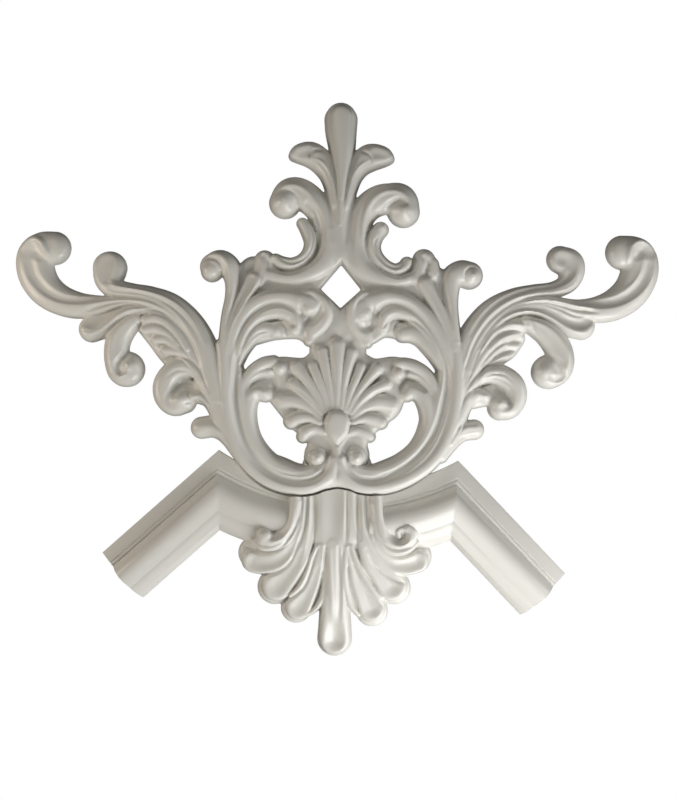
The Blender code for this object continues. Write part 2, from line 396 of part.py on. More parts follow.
class Relief:
    """A height above the wall plane at each point of a grid, below zero where there is no material."""

    def __init__(self, box, pitch):
        left, right, low, high = box
        self.xs = np.arange(left, right + pitch, pitch)
        self.zs = np.arange(low, high + pitch, pitch)
        self.pitch = pitch
        self.height = np.full((len(self.zs), len(self.xs)), GROUND)

    def window(self, a, b, reach):
        first = (np.minimum(a, b)[:2] - reach - (self.xs[0], self.zs[0])) / self.pitch
        last = (np.maximum(a, b)[:2] + reach - (self.xs[0], self.zs[0])) / self.pitch + 2
        i0, j0 = np.maximum(first, 0).astype(int)
        i1, j1 = np.maximum(last, 0).astype(int)
        return slice(j0, j1), slice(i0, i1)

    def along(self, a, b, reach):
        """The cells round the segment a to b: their window, distance to it, half width and height there."""
        rows, columns = self.window(a, b, reach)
        x, z = np.meshgrid(self.xs[columns], self.zs[rows])
        run = (b - a)[:2]
        t = ((x - a[0]) * run[0] + (z - a[1]) * run[1]) / max(run @ run, MERGE**2)
        t = np.clip(t, 0, 1)
        distance = np.hypot(x - a[0] - t * run[0], z - a[1] - t * run[1])
        return (rows, columns), distance, a[2] + (b - a)[2] * t, a[3] + (b - a)[3] * t

    def raise_ridge(self, path, drop):
        for a, b in zip(path, path[1:]):
            reach = max(a[2], b[2]) + max(a[3], b[3]) / WALL_DRAFT + LEAST_FOOT
            where, distance, width, height = self.along(a, b, reach)
            share = np.clip(distance / width, 0, 1)
            foot = np.maximum(np.minimum(LEAST_FOOT, height), height - drop * width)
            ridge = foot + (height - foot) * np.sqrt(1 - share**2)
            ridge = np.where(distance < width, ridge, foot - WALL_DRAFT * (distance - width))
            self.height[where] = np.maximum(self.height[where], ridge)

    def sink_hollow(self, path):
        cut = np.zeros_like(self.height)
        for a, b in zip(path, path[1:]):
            where, distance, width, depth = self.along(a, b, 2 * max(a[2], b[2]))
            cut[where] = np.maximum(cut[where], depth * np.exp(-HOLLOW_SPREAD * (distance / width) ** 2))
        sunk = np.maximum(self.height - cut, HOLLOW_FLOOR)
        self.height = np.where(self.height > HOLLOW_FLOOR, sunk, self.height)

    def cut_diamond(self):
        x, z = np.meshgrid(self.xs, self.zs)
        upper = DIAMOND_TOP - DIAMOND_WAIST
        lower = DIAMOND_WAIST - DIAMOND_FOOT
        above = (DIAMOND_TOP - z) * DIAMOND_HALF_WIDTH - abs(x) * upper
        below = (z - DIAMOND_FOOT) * DIAMOND_HALF_WIDTH - abs(x) * lower
        inside = np.where(z > DIAMOND_WAIST, above / math.hypot(upper, DIAMOND_HALF_WIDTH),
                          below / math.hypot(lower, DIAMOND_HALF_WIDTH))
        self.height = np.minimum(self.height, -WALL_DRAFT * inside)

    def sheet(self, name, lowest):
        """The relief as an open sheet of faces facing -Y, down to a height below zero."""
        keep = self.height > lowest
        cells = keep[:-1, :-1] | keep[1:, :-1] | keep[:-1, 1:] | keep[1:, 1:]
        number = np.full(self.height.shape, -1)
        used = np.zeros(self.height.shape, bool)
        for down in (slice(None, -1), slice(1, None)):
            for across in (slice(None, -1), slice(1, None)):
                used[down, across] |= cells
        number[used] = np.arange(used.sum())
        x, z = np.meshgrid(self.xs, self.zs)
        y = -np.maximum(self.height, 2 * lowest)
        points = np.stack([x[used], y[used], z[used]], axis=1)
        corner = [number[:-1, :-1], number[:-1, 1:], number[1:, 1:], number[1:, :-1]]
        faces = np.stack([c[cells] for c in corner], axis=1)
        mesh = bpy.data.meshes.new(name)
        mesh.from_pydata(points.tolist(), [], faces.tolist())
        return mesh


def decimated(mesh, faces):
    """The mesh brought down to about this many triangles, with its form kept."""
    helper = bpy.data.objects.new("helper", mesh)
    bpy.context.scene.collection.objects.link(helper)
    now = 2 * len(mesh.polygons)
    modifier = helper.modifiers.new("Decimate", "DECIMATE")
    modifier.ratio = min(1.0, faces / now)
    graph = bpy.context.evaluated_depsgraph_get()
    fewer = bpy.data.meshes.new_from_object(helper.evaluated_get(graph))
    bpy.data.objects.remove(helper)
    return fewer


def closed_at(mesh, back):
    """Cuts the sheet flat at Y = back and closes it there."""
    bm = bmesh.new()
    bm.from_mesh(mesh)
    everything = bm.verts[:] + bm.edges[:] + bm.faces[:]
    bmesh.ops.bisect_plane(bm, geom=everything, dist=MERGE, plane_co=(0, back, 0), plane_no=(0, 1, 0),
                           clear_outer=True)
    bmesh.ops.dissolve_degenerate(bm, dist=SHORT_EDGE, edges=bm.edges[:])
    drop_crumbs(bm)
    rim = [edge for edge in bm.edges if edge.is_boundary]
    bmesh.ops.triangle_fill(bm, use_beauty=True, use_dissolve=False, edges=rim)
    bmesh.ops.recalc_face_normals(bm, faces=bm.faces[:])
    bm.to_mesh(mesh)
    bm.free()
    return mesh


def drop_crumbs(bm):
    """Removes any islet beside the one large sheet."""
    left = set(bm.faces)
    islands = []
    while left:
        island = [left.pop()]
        for face in island:
            near = {other for edge in face.edges for other in edge.link_faces} & left
            left -= near
            island.extend(near)
        islands.append(island)
    islands.sort(key=len)
    crumbs = [face for island in islands[:-1] for face in island]
    bmesh.ops.delete(bm, geom=crumbs, context="FACES")


def half_path(rows, side, marks, frame):
    """A stroke or bulb of the left half, laid on the side asked for."""
    path = smooth_path(rows)
    if side > 0:
        path = eased(path, marks)
    return laid(path, side, frame)


def carve(relief, strokes, balls, marks, frame):
    for side in (-1, 1):
        for rows in strokes.values():
            relief.raise_ridge(half_path(rows, side, marks, frame), RIDGE_DROP)
        for ball in balls.values():
            relief.raise_ridge(half_path(ball, side, marks, frame), BALL_DROP)


def drawn_box(strokes, frame):
    """The box in X and Z that the strokes' own reach needs, both halves together."""
    corners = []
    for side in (-1, 1):
        for rows in strokes.values():
            path = laid(smooth_path(rows), side, frame)
            corners.append(path[:, :2] - path[:, 2:3])
            corners.append(path[:, :2] + path[:, 2:3])
    corners = np.vstack(corners)
    low = corners.min(0) - STROKE_MARGIN
    high = corners.max(0) + STROKE_MARGIN
    return low[0], high[0], low[1], high[1]


def crest_relief(pitch):
    strokes = WING_STROKES | RING_STROKES | PETAL_STROKES | TOP_STROKES
    relief = Relief(drawn_box(strokes | AXIS_STROKES, CREST_FRAME), pitch)
    carve(relief, strokes, CREST_BALLS, CREST_RIGHT_EASE, CREST_FRAME)
    for rows in AXIS_STROKES.values():
        relief.raise_ridge(laid(smooth_path(rows), -1, CREST_FRAME), RIDGE_DROP)
    for side in (-1, 1):
        for rows in CREST_HOLLOWS.values():
            relief.sink_hollow(half_path(rows, side, CREST_RIGHT_EASE, CREST_FRAME))
    relief.cut_diamond()
    return relief


def palmette_relief(pitch):
    relief = Relief(drawn_box(PALMETTE_STROKES | TONGUE_STROKES, CORNER_FRAME), pitch)
    carve(relief, PALMETTE_STROKES, PALMETTE_BALLS, PALMETTE_RIGHT_EASE, CORNER_FRAME)
    for rows in TONGUE_STROKES.values():
        relief.raise_ridge(laid(smooth_path(rows), -1, CORNER_FRAME), RIDGE_DROP)
    for rows in PALMETTE_HOLLOWS.values():
        relief.sink_hollow(laid(smooth_path(rows), -1, CORNER_FRAME))
    return relief


def moulding_profile():
    """(distance from the outer edge, height) over fillet, quirk, bead, torus, step and band."""
    quirk = FILLET_WIDTH + QUIRK_WIDTH
    bead = quirk + BEAD_WIDTH
    sunk = FILLET_HEIGHT - QUIRK_DEPTH
    points = [(0.0, FILLET_HEIGHT - FILLET_ROUND), (FILLET_ROUND, FILLET_HEIGHT)]
    points.append((FILLET_WIDTH, FILLET_HEIGHT))
    points.append((FILLET_WIDTH + QUIRK_SIDE * QUIRK_WIDTH, sunk))
    points.append((quirk, sunk))
    points.append((quirk + BEAD_FLANK[0] * BEAD_WIDTH, FILLET_HEIGHT + BEAD_FLANK[1] * BEAD_RISE))
    points.append((quirk + BEAD_CROWN * BEAD_WIDTH, FILLET_HEIGHT + BEAD_RISE))
    points.append((bead, FILLET_HEIGHT))
    shoulder = MOULDING_CROWN - SHOULDER_DROP
    for i in range(1, TORUS_STEPS + 1):
        share = i / TORUS_STEPS
        base = FILLET_HEIGHT + (shoulder - FILLET_HEIGHT) * share
        swell = TORUS_SWELL * math.sin(math.pi * share**TORUS_LEAN)
        points.append((bead + (STEP_PLACE - bead) * share, base + swell))
    step = shoulder - STEP_DROP
    points.append((STEP_PLACE + STEP_WIDTH, step))
    for i in range(1, BAND_STEPS + 1):
        share = i / BAND_STEPS
        across = STEP_PLACE + (MOULDING_WIDTH - STEP_PLACE) * share
        points.append((across, step - (step - EDGE_HEIGHT) * share**BAND_HOLLOW))
    return points


def moulding_stations():
    """Pairs (outer point, inner point) of the left run, from its square end to the palmette."""
    fall = math.radians(ARM_FALL_DEG)
    lean = math.radians(MITRE_LEAN_DEG)
    outer = Vector((-MITRE_REACH, MITRE_RISE))
    down_arm = Vector((-math.cos(fall), -math.sin(fall)))
    across_arm = Vector((math.sin(fall), -math.cos(fall)))
    down_mitre = Vector((math.sin(lean), -math.cos(lean)))
    inner = outer + down_mitre * (MOULDING_WIDTH / down_mitre.dot(across_arm))
    end = outer + down_arm * ARM_LENGTH
    stations = [(end, end + across_arm * MOULDING_WIDTH), (outer, inner)]
    centre = Vector((0.0, BOW_CENTRE_HEIGHT))
    for i in range(1, BOW_STATIONS + 1):
        share = i / BOW_STATIONS
        pair = []
        for start in (outer, inner):
            radius = (start - centre).length
            first = math.asin(start.x / radius)
            angle = first + (math.asin(-BOW_END / radius) - first) * share
            pair.append(centre + Vector((math.sin(angle), -math.cos(angle))) * radius)
        stations.append(tuple(pair))
    return stations


def add_run(bm, side):
    """One run of the moulding, side -1 for the left and 1 for the right, as a closed body."""
    profile = moulding_profile()
    rings = []
    for outer, inner in moulding_stations():
        points = [(outer, -BACK_SPARE)]
        points += [(outer.lerp(inner, across / MOULDING_WIDTH), height) for across, height in profile]
        points.append((inner, -BACK_SPARE))
        path = np.array([(-place.x, place.y, 0, height) for place, height in points])
        path = laid(path, side, CORNER_FRAME)
        rings.append([bm.verts.new((x, -height, z)) for x, z, _, height in path])
    for near, far in zip(rings, rings[1:]):
        for i in range(len(near)):
            j = (i + 1) % len(near)
            bm.faces.new((near[i], near[j], far[j], far[i]))
    bm.faces.new(rings[0])
    bm.faces.new(rings[-1])


def named_object(name, mesh):
    thing = bpy.data.objects.new(name, mesh)
    bpy.context.scene.collection.objects.link(thing)
    mesh.name = name
    return thing


def helper_object(name, mesh):
    helper = named_object(name, mesh)
    helper.hide_render = True
    helper.display_type = "WIRE"
    return helper


def cast_foam(name):
    material = bpy.data.materials.new(name)
    material.use_nodes = True
    shader = material.node_tree.nodes["Principled BSDF"]
    shader.inputs["Base Color"].default_value = COAT_COLOUR
    shader.inputs["Roughness"].default_value = COAT_ROUGHNESS
    shader.inputs["Metallic"].default_value = 0.0
    return material


def finish(thing, material):
    thing.data.materials.clear()
    thing.data.materials.append(material)
    thing.data.shade_smooth()
    thing.data.set_sharp_from_angle(angle=math.radians(SHARP_DEG))


def make_crest():
    mesh = crest_relief(CREST_PITCH).sheet("crest", -CREST_PITCH * WALL_DRAFT)
    mesh = closed_at(decimated(mesh, CREST_FACES), 0.0)
    crest = named_object("crest", mesh)
    finish(crest, cast_foam("crest foam"))
    return crest


def joint_cutter():
    """The crest's outline along the joint, grown by the gap, as a prism through the corner's thickness."""
    relief = crest_relief(CREST_PITCH)
    x, z = np.meshgrid(relief.xs, relief.zs)
    relief.height = np.where(z < JOINT_TOP, relief.height + JOINT_GAP * WALL_DRAFT, GROUND)
    relief.height = np.clip(relief.height * CUTTER_STEEPNESS, GROUND, CUTTER_DEPTH)
    sheet = relief.sheet("joint_cutter", GROUND / 2)
    cutter = helper_object("joint_cutter", closed_at(sheet, 2 * BACK_SPARE))
    pivot = Vector((JOINT_PIVOT[0], 0.0, JOINT_PIVOT[1]))
    turn = Matrix.Rotation(math.radians(-JOINT_OPENS_DEG), 4, "Y")
    cutter.data.transform(Matrix.Translation(pivot) @ turn @ Matrix.Translation(-pivot))
    return cutter


def make_corner_moulding():
    bm = bmesh.new()
    for side in (-1, 1):
        add_run(bm, side)
    bmesh.ops.recalc_face_normals(bm, faces=bm.faces[:])
    bmesh.ops.triangulate(bm, faces=bm.faces[:])
    mesh = bpy.data.meshes.new("corner_moulding")
    bm.to_mesh(mesh)
    bm.free()
    corner = named_object("corner_moulding", mesh)
    lowest = -WALL_DRAFT * (PALMETTE_PITCH + BACK_SPARE)
    sheet = palmette_relief(PALMETTE_PITCH).sheet("palmette", lowest)
    palmette = helper_object("palmette", closed_at(decimated(sheet, PALMETTE_FACES), BACK_SPARE))
    steps = [("UNION", palmette), ("DIFFERENCE", joint_cutter()), ("DIFFERENCE", wall_slab())]
    for operation, other in steps:
        modifier = corner.modifiers.new(other.name, "BOOLEAN")
        modifier.operation = operation
        modifier.object = other
    finish(corner, cast_foam("corner foam"))
    return corner


def wall_slab():
    """The wall behind the castings, which cuts their backs flat."""
    half = MITRE_REACH + ARM_LENGTH + MOULDING_WIDTH
    bm = bmesh.new()
    bmesh.ops.create_cube(bm, size=1.0)
    for vert in bm.verts:
        vert.co.x *= 2 * half
        vert.co.z *= 2 * half
        vert.co.z -= CORNER_DROP
        vert.co.y = 0.0 if vert.co.y < 0 else BACK_SPARE * 4
    mesh = bpy.data.meshes.new("wall_slab")
    bm.to_mesh(mesh)
    bm.free()
    return helper_object("wall_slab", mesh)


def main():
    for thing in list(bpy.data.objects):
        bpy.data.objects.remove(thing)
    make_crest()
    make_corner_moulding()


main()
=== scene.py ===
"""Wall-panel corner ornament in rigid foam: openwork crest, and mitred corner moulding.

Both castings face -Y and their flat backs lie on the wall plane Y = 0. The carving is laid on stroke
by stroke. A stroke is a smooth line through rows of (across, down, half width, height), all in
millimetres. Across and down are measured on a drawing of the ornament, which hangs a little turned;
its axis and level are named below. The strokes of a touch that only works what is there already
have a depth or a rise in place of the height.
"""

import json
import math

import bpy
import numpy as np
from mathutils import Matrix, Vector

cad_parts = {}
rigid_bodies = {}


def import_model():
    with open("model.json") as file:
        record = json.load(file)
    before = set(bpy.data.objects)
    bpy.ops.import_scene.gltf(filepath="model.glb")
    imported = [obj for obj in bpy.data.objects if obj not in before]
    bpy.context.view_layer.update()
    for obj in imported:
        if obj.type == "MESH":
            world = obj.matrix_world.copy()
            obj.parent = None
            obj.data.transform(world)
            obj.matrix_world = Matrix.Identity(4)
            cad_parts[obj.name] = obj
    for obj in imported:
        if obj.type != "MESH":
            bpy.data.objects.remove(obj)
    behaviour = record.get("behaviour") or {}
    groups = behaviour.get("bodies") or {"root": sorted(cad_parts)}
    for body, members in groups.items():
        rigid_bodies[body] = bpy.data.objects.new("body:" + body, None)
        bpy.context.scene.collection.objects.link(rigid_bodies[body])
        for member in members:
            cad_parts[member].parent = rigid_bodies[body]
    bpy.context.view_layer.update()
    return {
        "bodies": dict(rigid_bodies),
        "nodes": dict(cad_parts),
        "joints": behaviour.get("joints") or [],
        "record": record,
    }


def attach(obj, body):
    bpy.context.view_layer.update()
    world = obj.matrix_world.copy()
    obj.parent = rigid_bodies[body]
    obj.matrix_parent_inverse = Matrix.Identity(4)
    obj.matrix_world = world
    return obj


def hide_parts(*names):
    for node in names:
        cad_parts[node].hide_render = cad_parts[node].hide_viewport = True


MM = 0.001

# Fineness: grids of the carvings and of the joint's cutter, the most triangles that a casting keeps,
# and the paint's rounding, whose blur reaches a few times its radius
CREST_PITCH = 0.0009
PALMETTE_PITCH = 0.0008
CUTTER_PITCH = 1.6 * CREST_PITCH
MOST_TRIANGLES = 190000
PATH_STEP = 0.0015
PAINT_ROUNDING = 0.0004
BLUR_REACH = 3
WALL_SMOOTHING = 0.5
WALL_SMOOTHINGS = 2

# How the castings are cut: the rise of their walls, and how much steeper the joint's cutter is
WALL_DRAFT = 5.0
LEAST_FOOT = 0.003
HOLLOW_FLOOR = 0.003
STROKE_MARGIN = 0.015
LEAST_HALF_WIDTH = 0.0005
GROUND = -0.040
BACK_SPARE = 0.004
SPARE_CELLS = 3
CUTTER_DEPTH = 0.060
CUTTER_STEEPNESS = 1.3
TINY = 1e-12

# Joint between the castings: the corner is cut to the crest's foot, opening to the left
JOINT_GAP = 0.0003
JOINT_BED = 0.0065
JOINT_OPENS_DEG = 0.6
JOINT_PIVOT = (0.117, -0.028)
JOINT_TOP = -0.015

# The corner casting's place and the moulding's run
CORNER_DROP = 0.078
CORNER_SHIFT = 0.0005
CORNER_LAY_DEG = 1.65
CORNER_FRAME = (CORNER_SHIFT, -CORNER_DROP, math.radians(CORNER_LAY_DEG))
ARM_LENGTH = 0.1555
ARM_FALL_DEG = 44.0
MITRE_REACH = 0.121
MITRE_RISE = 0.044
MITRE_LEAN_DEG = 3.2
BOW_CENTRE_HEIGHT = 0.244
BOW_END = 0.034
BOW_STATIONS = 24

# The moulding's section, from its outer edge: fillet, quirk, bead, torus, step and hollow band.
# The fillet's two edges have a share of its rounding; the bead starts sunk by a share of its rise
MOULDING_WIDTH = 0.0612
MOULDING_CROWN = 0.0242
FILLET_WIDTH = 0.013
FILLET_HEIGHT = 0.0100
FILLET_ROUND = 0.0010
FILLET_OUTER_SHARE = 0.3
FILLET_INNER_SHARE = 0.4
FILLET_LEAN = 0.0030
QUIRK_WIDTH = 0.0012
QUIRK_DEPTH = 0.0003
QUIRK_SIDE = 0.4
BEAD_WIDTH = 0.0032
BEAD_RISE = 0.0005
BEAD_SUNK_SHARE = 0.5
BEAD_SWELL = 2.0
BEAD_FULLNESS = 0.8
BEAD_STEPS = 6
STEP_PLACE = 0.044
STEP_DROP = 0.0009
STEP_WIDTH = 0.0010
SHOULDER_DROP = 0.0075
TORUS_SWELL = 0.0080
TORUS_LEAN = 0.86
TORUS_STEPS = 28
BAND_HOLLOW = 1.9
BAND_STEPS = 12
EDGE_HEIGHT = 0.0035

# Diamond opening
DIAMOND_ACROSS = 0.0013
DIAMOND_TOP = 0.1585
DIAMOND_HALF_WIDTH = 0.0202
DIAMOND_WAIST = 0.1338
DIAMOND_FOOT = 0.115

# The drawing that the strokes are measured on
DRAWING_AXIS = 0.3373
DRAWING_LEVEL = 0.4220
DRAWING_LAY_DEG = 0.95
CREST_GROWS = 1.003
PALMETTE_GROWS = 1.009

# Touches laid on: fullness of the section, how far its edge drops per half width, and how far it melts in
LAID_ON = {
    "band": (2.0, 0.85, 0.0014),
    "body": (2.2, 0.9, 0.0020),
    "slab": (4.5, 0.35, 0.0020),
    "web": (2.4, 0.6, 0.0030),
    "bulb": (2.0, 1.0, 0.0010),
}
# Touches that work what is there: -1 cuts and 1 raises, the share's power, and the section's power.
# A drawn depth or rise is carved this much stronger
WORK_STRENGTH = 1.25
WORKED = {
    "dish": (-1, 2.0, 2.0),
    "flute": (-1, 2.0, 1.0),
    "crease": (-1, 1.0, 1.6),
    "swell": (1, 2.0, 2.0),
    "arris": (1, 1.0, 1.6),
}

# Meshes
CUT_MERGE = 1e-6
BACK_MERGE = 2e-5
SHARP_DEG = 42.0

# Gloss paint: its colour, gloss and the faint waver that spraying leaves, in metres
PAINT_COLOUR = "E6E5DF"
PAINT_ROUGHNESS = 0.24
PAINT_IOR = 1.48
PAINT_WAVER = 0.012
PAINT_WAVER_DETAIL = 2.0
PAINT_WAVER_DEPTH = 0.0002
PAINT_WAVER_STRENGTH = 0.3

# Stage
FLOOR_SIZE = 1.0
FLOOR_LEVEL = -0.66
FLOOR_COLOUR = "F4F3F0"
FLOOR_ROUGHNESS = 0.9
ROOM_COLOUR = "F6F4F0"
ROOM_GLOW = 0.07

# Camera: one pixel of the 677 x 800 frame is one millimetre at the scale plane
SENSOR = 36.0
FRAME_HEIGHT = 0.800
CAMERA_DISTANCE = 0.95
SCALE_PLANE = 0.012
CAMERA_X = 0.0008
CAMERA_Z = 0.0220
CAMERA_ROLL_DEG = 0.95

# Soft boxes: place, size, power, colour and the point that they are aimed at
ORNAMENT_MIDDLE = (0, 0, 0.03)
SOFT_BOXES = {
    "key_softbox": ((0.40, -0.30, -0.52), (0.6, 0.4), 4.2, "FFFFFF", (0.15, 0, -0.12)),
    "low_softbox": ((-0.20, -0.40, -0.85), (0.9, 0.5), 1.7, "FFFAF0", ORNAMENT_MIDDLE),
    "right_softbox": ((0.75, -0.30, -0.05), (0.3, 0.4), 1.2, "FFFCF6", ORNAMENT_MIDDLE),
    "left_softbox": ((-0.75, -0.32, 0.0), (0.3, 0.4), 1.8, "FFF2E2", ORNAMENT_MIDDLE),
    "fill_softbox": ((-0.40, -1.35, 0.85), (0.7, 0.7), 2.1, "FFF8EE", (0, 0, 0.18)),
}

CREST_BEDS = {
    "root_left": ("web", [(203, 352, 14, 13), (212, 380, 12, 14), (220, 408, 11, 14.5), (229, 433, 10, 15),
        (243, 455, 9, 15)]),
    "root_right": ("web", [(478, 358, 14, 13), (466, 385, 12, 14), (460, 410, 10, 14.5),
        (450, 436, 9, 15)]),
    "fan_left": ("web", [(146, 327, 9, 9.5), (157, 338, 11, 10), (170, 352, 13, 11), (184, 366, 13, 12)]),
    "fan_right": ("web", [(518, 338, 8, 9.5), (509, 348, 10, 10), (496, 354, 13, 11), (482, 366, 13, 12)]),
    "curl_left": ("web", [(176, 388, 14, 9), (192, 392, 10, 10), (206, 398, 7, 11)]),
    "curl_right": ("web", [(505, 394, 14, 9), (489, 396, 10, 10), (474, 400, 8, 11)]),
    "ring_left": ("web", [(254, 336, 8, 10), (274, 330, 9, 10), (297, 329, 9, 10), (307, 337, 5, 9)]),
    "ring_right": ("web", [(424, 338, 8, 10), (405, 331, 9, 10), (385, 328, 8.5, 10), (372, 338, 5, 9)]),
    "waist_left": ("web", [(253, 290, 10, 9.5), (268, 286, 9, 9.5), (290, 286, 9, 9.5), (315, 288, 13, 9.5),
        (328, 304, 11, 9), (337, 318, 13, 9), (331, 333, 10, 9)]),
    "waist_right": ("web", [(424, 292, 10, 9.5), (408, 288, 9, 9.5), (385, 287, 9, 9.5),
        (367, 289, 13, 9.5), (352, 304, 11, 9), (342, 318, 13, 9), (346, 334, 10, 9)]),
    "diamond": ("web", [(319, 281, 12, 9.5), (330, 268, 12, 9.5), (341, 260, 12, 9.5), (352, 269, 12, 9.5),
        (364, 282, 12, 9.5)]),
    "flank_left": ("web", [(242, 275, 7, 10), (238, 292, 6, 11)]),
    "flank_right": ("web", [(441, 281, 8, 10), (444, 297, 6, 11)]),
    "nose_left": ("web", [(303, 318, 9, 10), (308, 328, 9, 10), (318, 338, 9, 9)]),
    "nose_right": ("web", [(374, 318, 9, 10), (369, 328, 9, 10), (358, 340, 9, 9)]),
    "ball_left": ("web", [(282, 372, 9, 9), (287, 386, 10, 9)]),
    "ball_right": ("web", [(398, 377, 8.5, 9), (386, 380, 8.5, 9), (392, 389, 10, 9)]),
    "heart_left": ("web", [(243, 271, 8, 10), (252, 264, 8, 10), (262, 268, 8, 10), (273, 268, 9, 10)]),
    "heart_right": ("web", [(446, 278, 7, 10), (438, 275, 8, 10), (428, 272, 8, 10), (414, 269, 9, 10)]),
    "slot_left": ("web", [(249, 382, 9, 9), (262, 372, 10, 9), (280, 366, 9, 9), (305, 367, 9.4, 9),
        (320, 358, 10.5, 8.5), (337, 350, 12, 8.5)]),
    "slot_right": ("web", [(428, 388, 8, 9), (415, 375, 10, 9), (396, 366, 9, 9), (374, 368, 9.4, 9),
        (357, 360, 10, 8.5), (337, 350, 12, 8.5)]),
    "waist_low": ("web", [(319, 350, 9.5, 8.5), (337, 348, 10, 8.5), (357, 351.5, 9, 8.5)]),
    "eye_left": ("web", [(268, 382, 9, 8), (276, 393, 8, 8)]),
    "eye_right": ("web", [(410, 384, 9, 8), (400, 392, 8, 8)]),
    "fan_middle": ("web", [(337, 362, 22, 8.5), (337, 385, 36, 10), (337, 408, 42, 10), (337, 430, 30, 10),
        (337, 452, 24, 12)]),
    "fan_edge_left": ("web", [(276, 398, 7, 9), (288, 411, 8.5, 9), (297, 422, 8.5, 9), (309, 432, 8, 9),
        (317, 444, 9, 10), (318, 456, 14, 12)]),
    "fan_edge_right": ("web", [(398, 397, 7, 9), (392, 408, 9, 9), (384, 415, 9, 9), (375, 423, 8, 9),
        (364, 433, 7.5, 9), (358, 444, 9, 10), (356, 457, 13.4, 12)]),
}

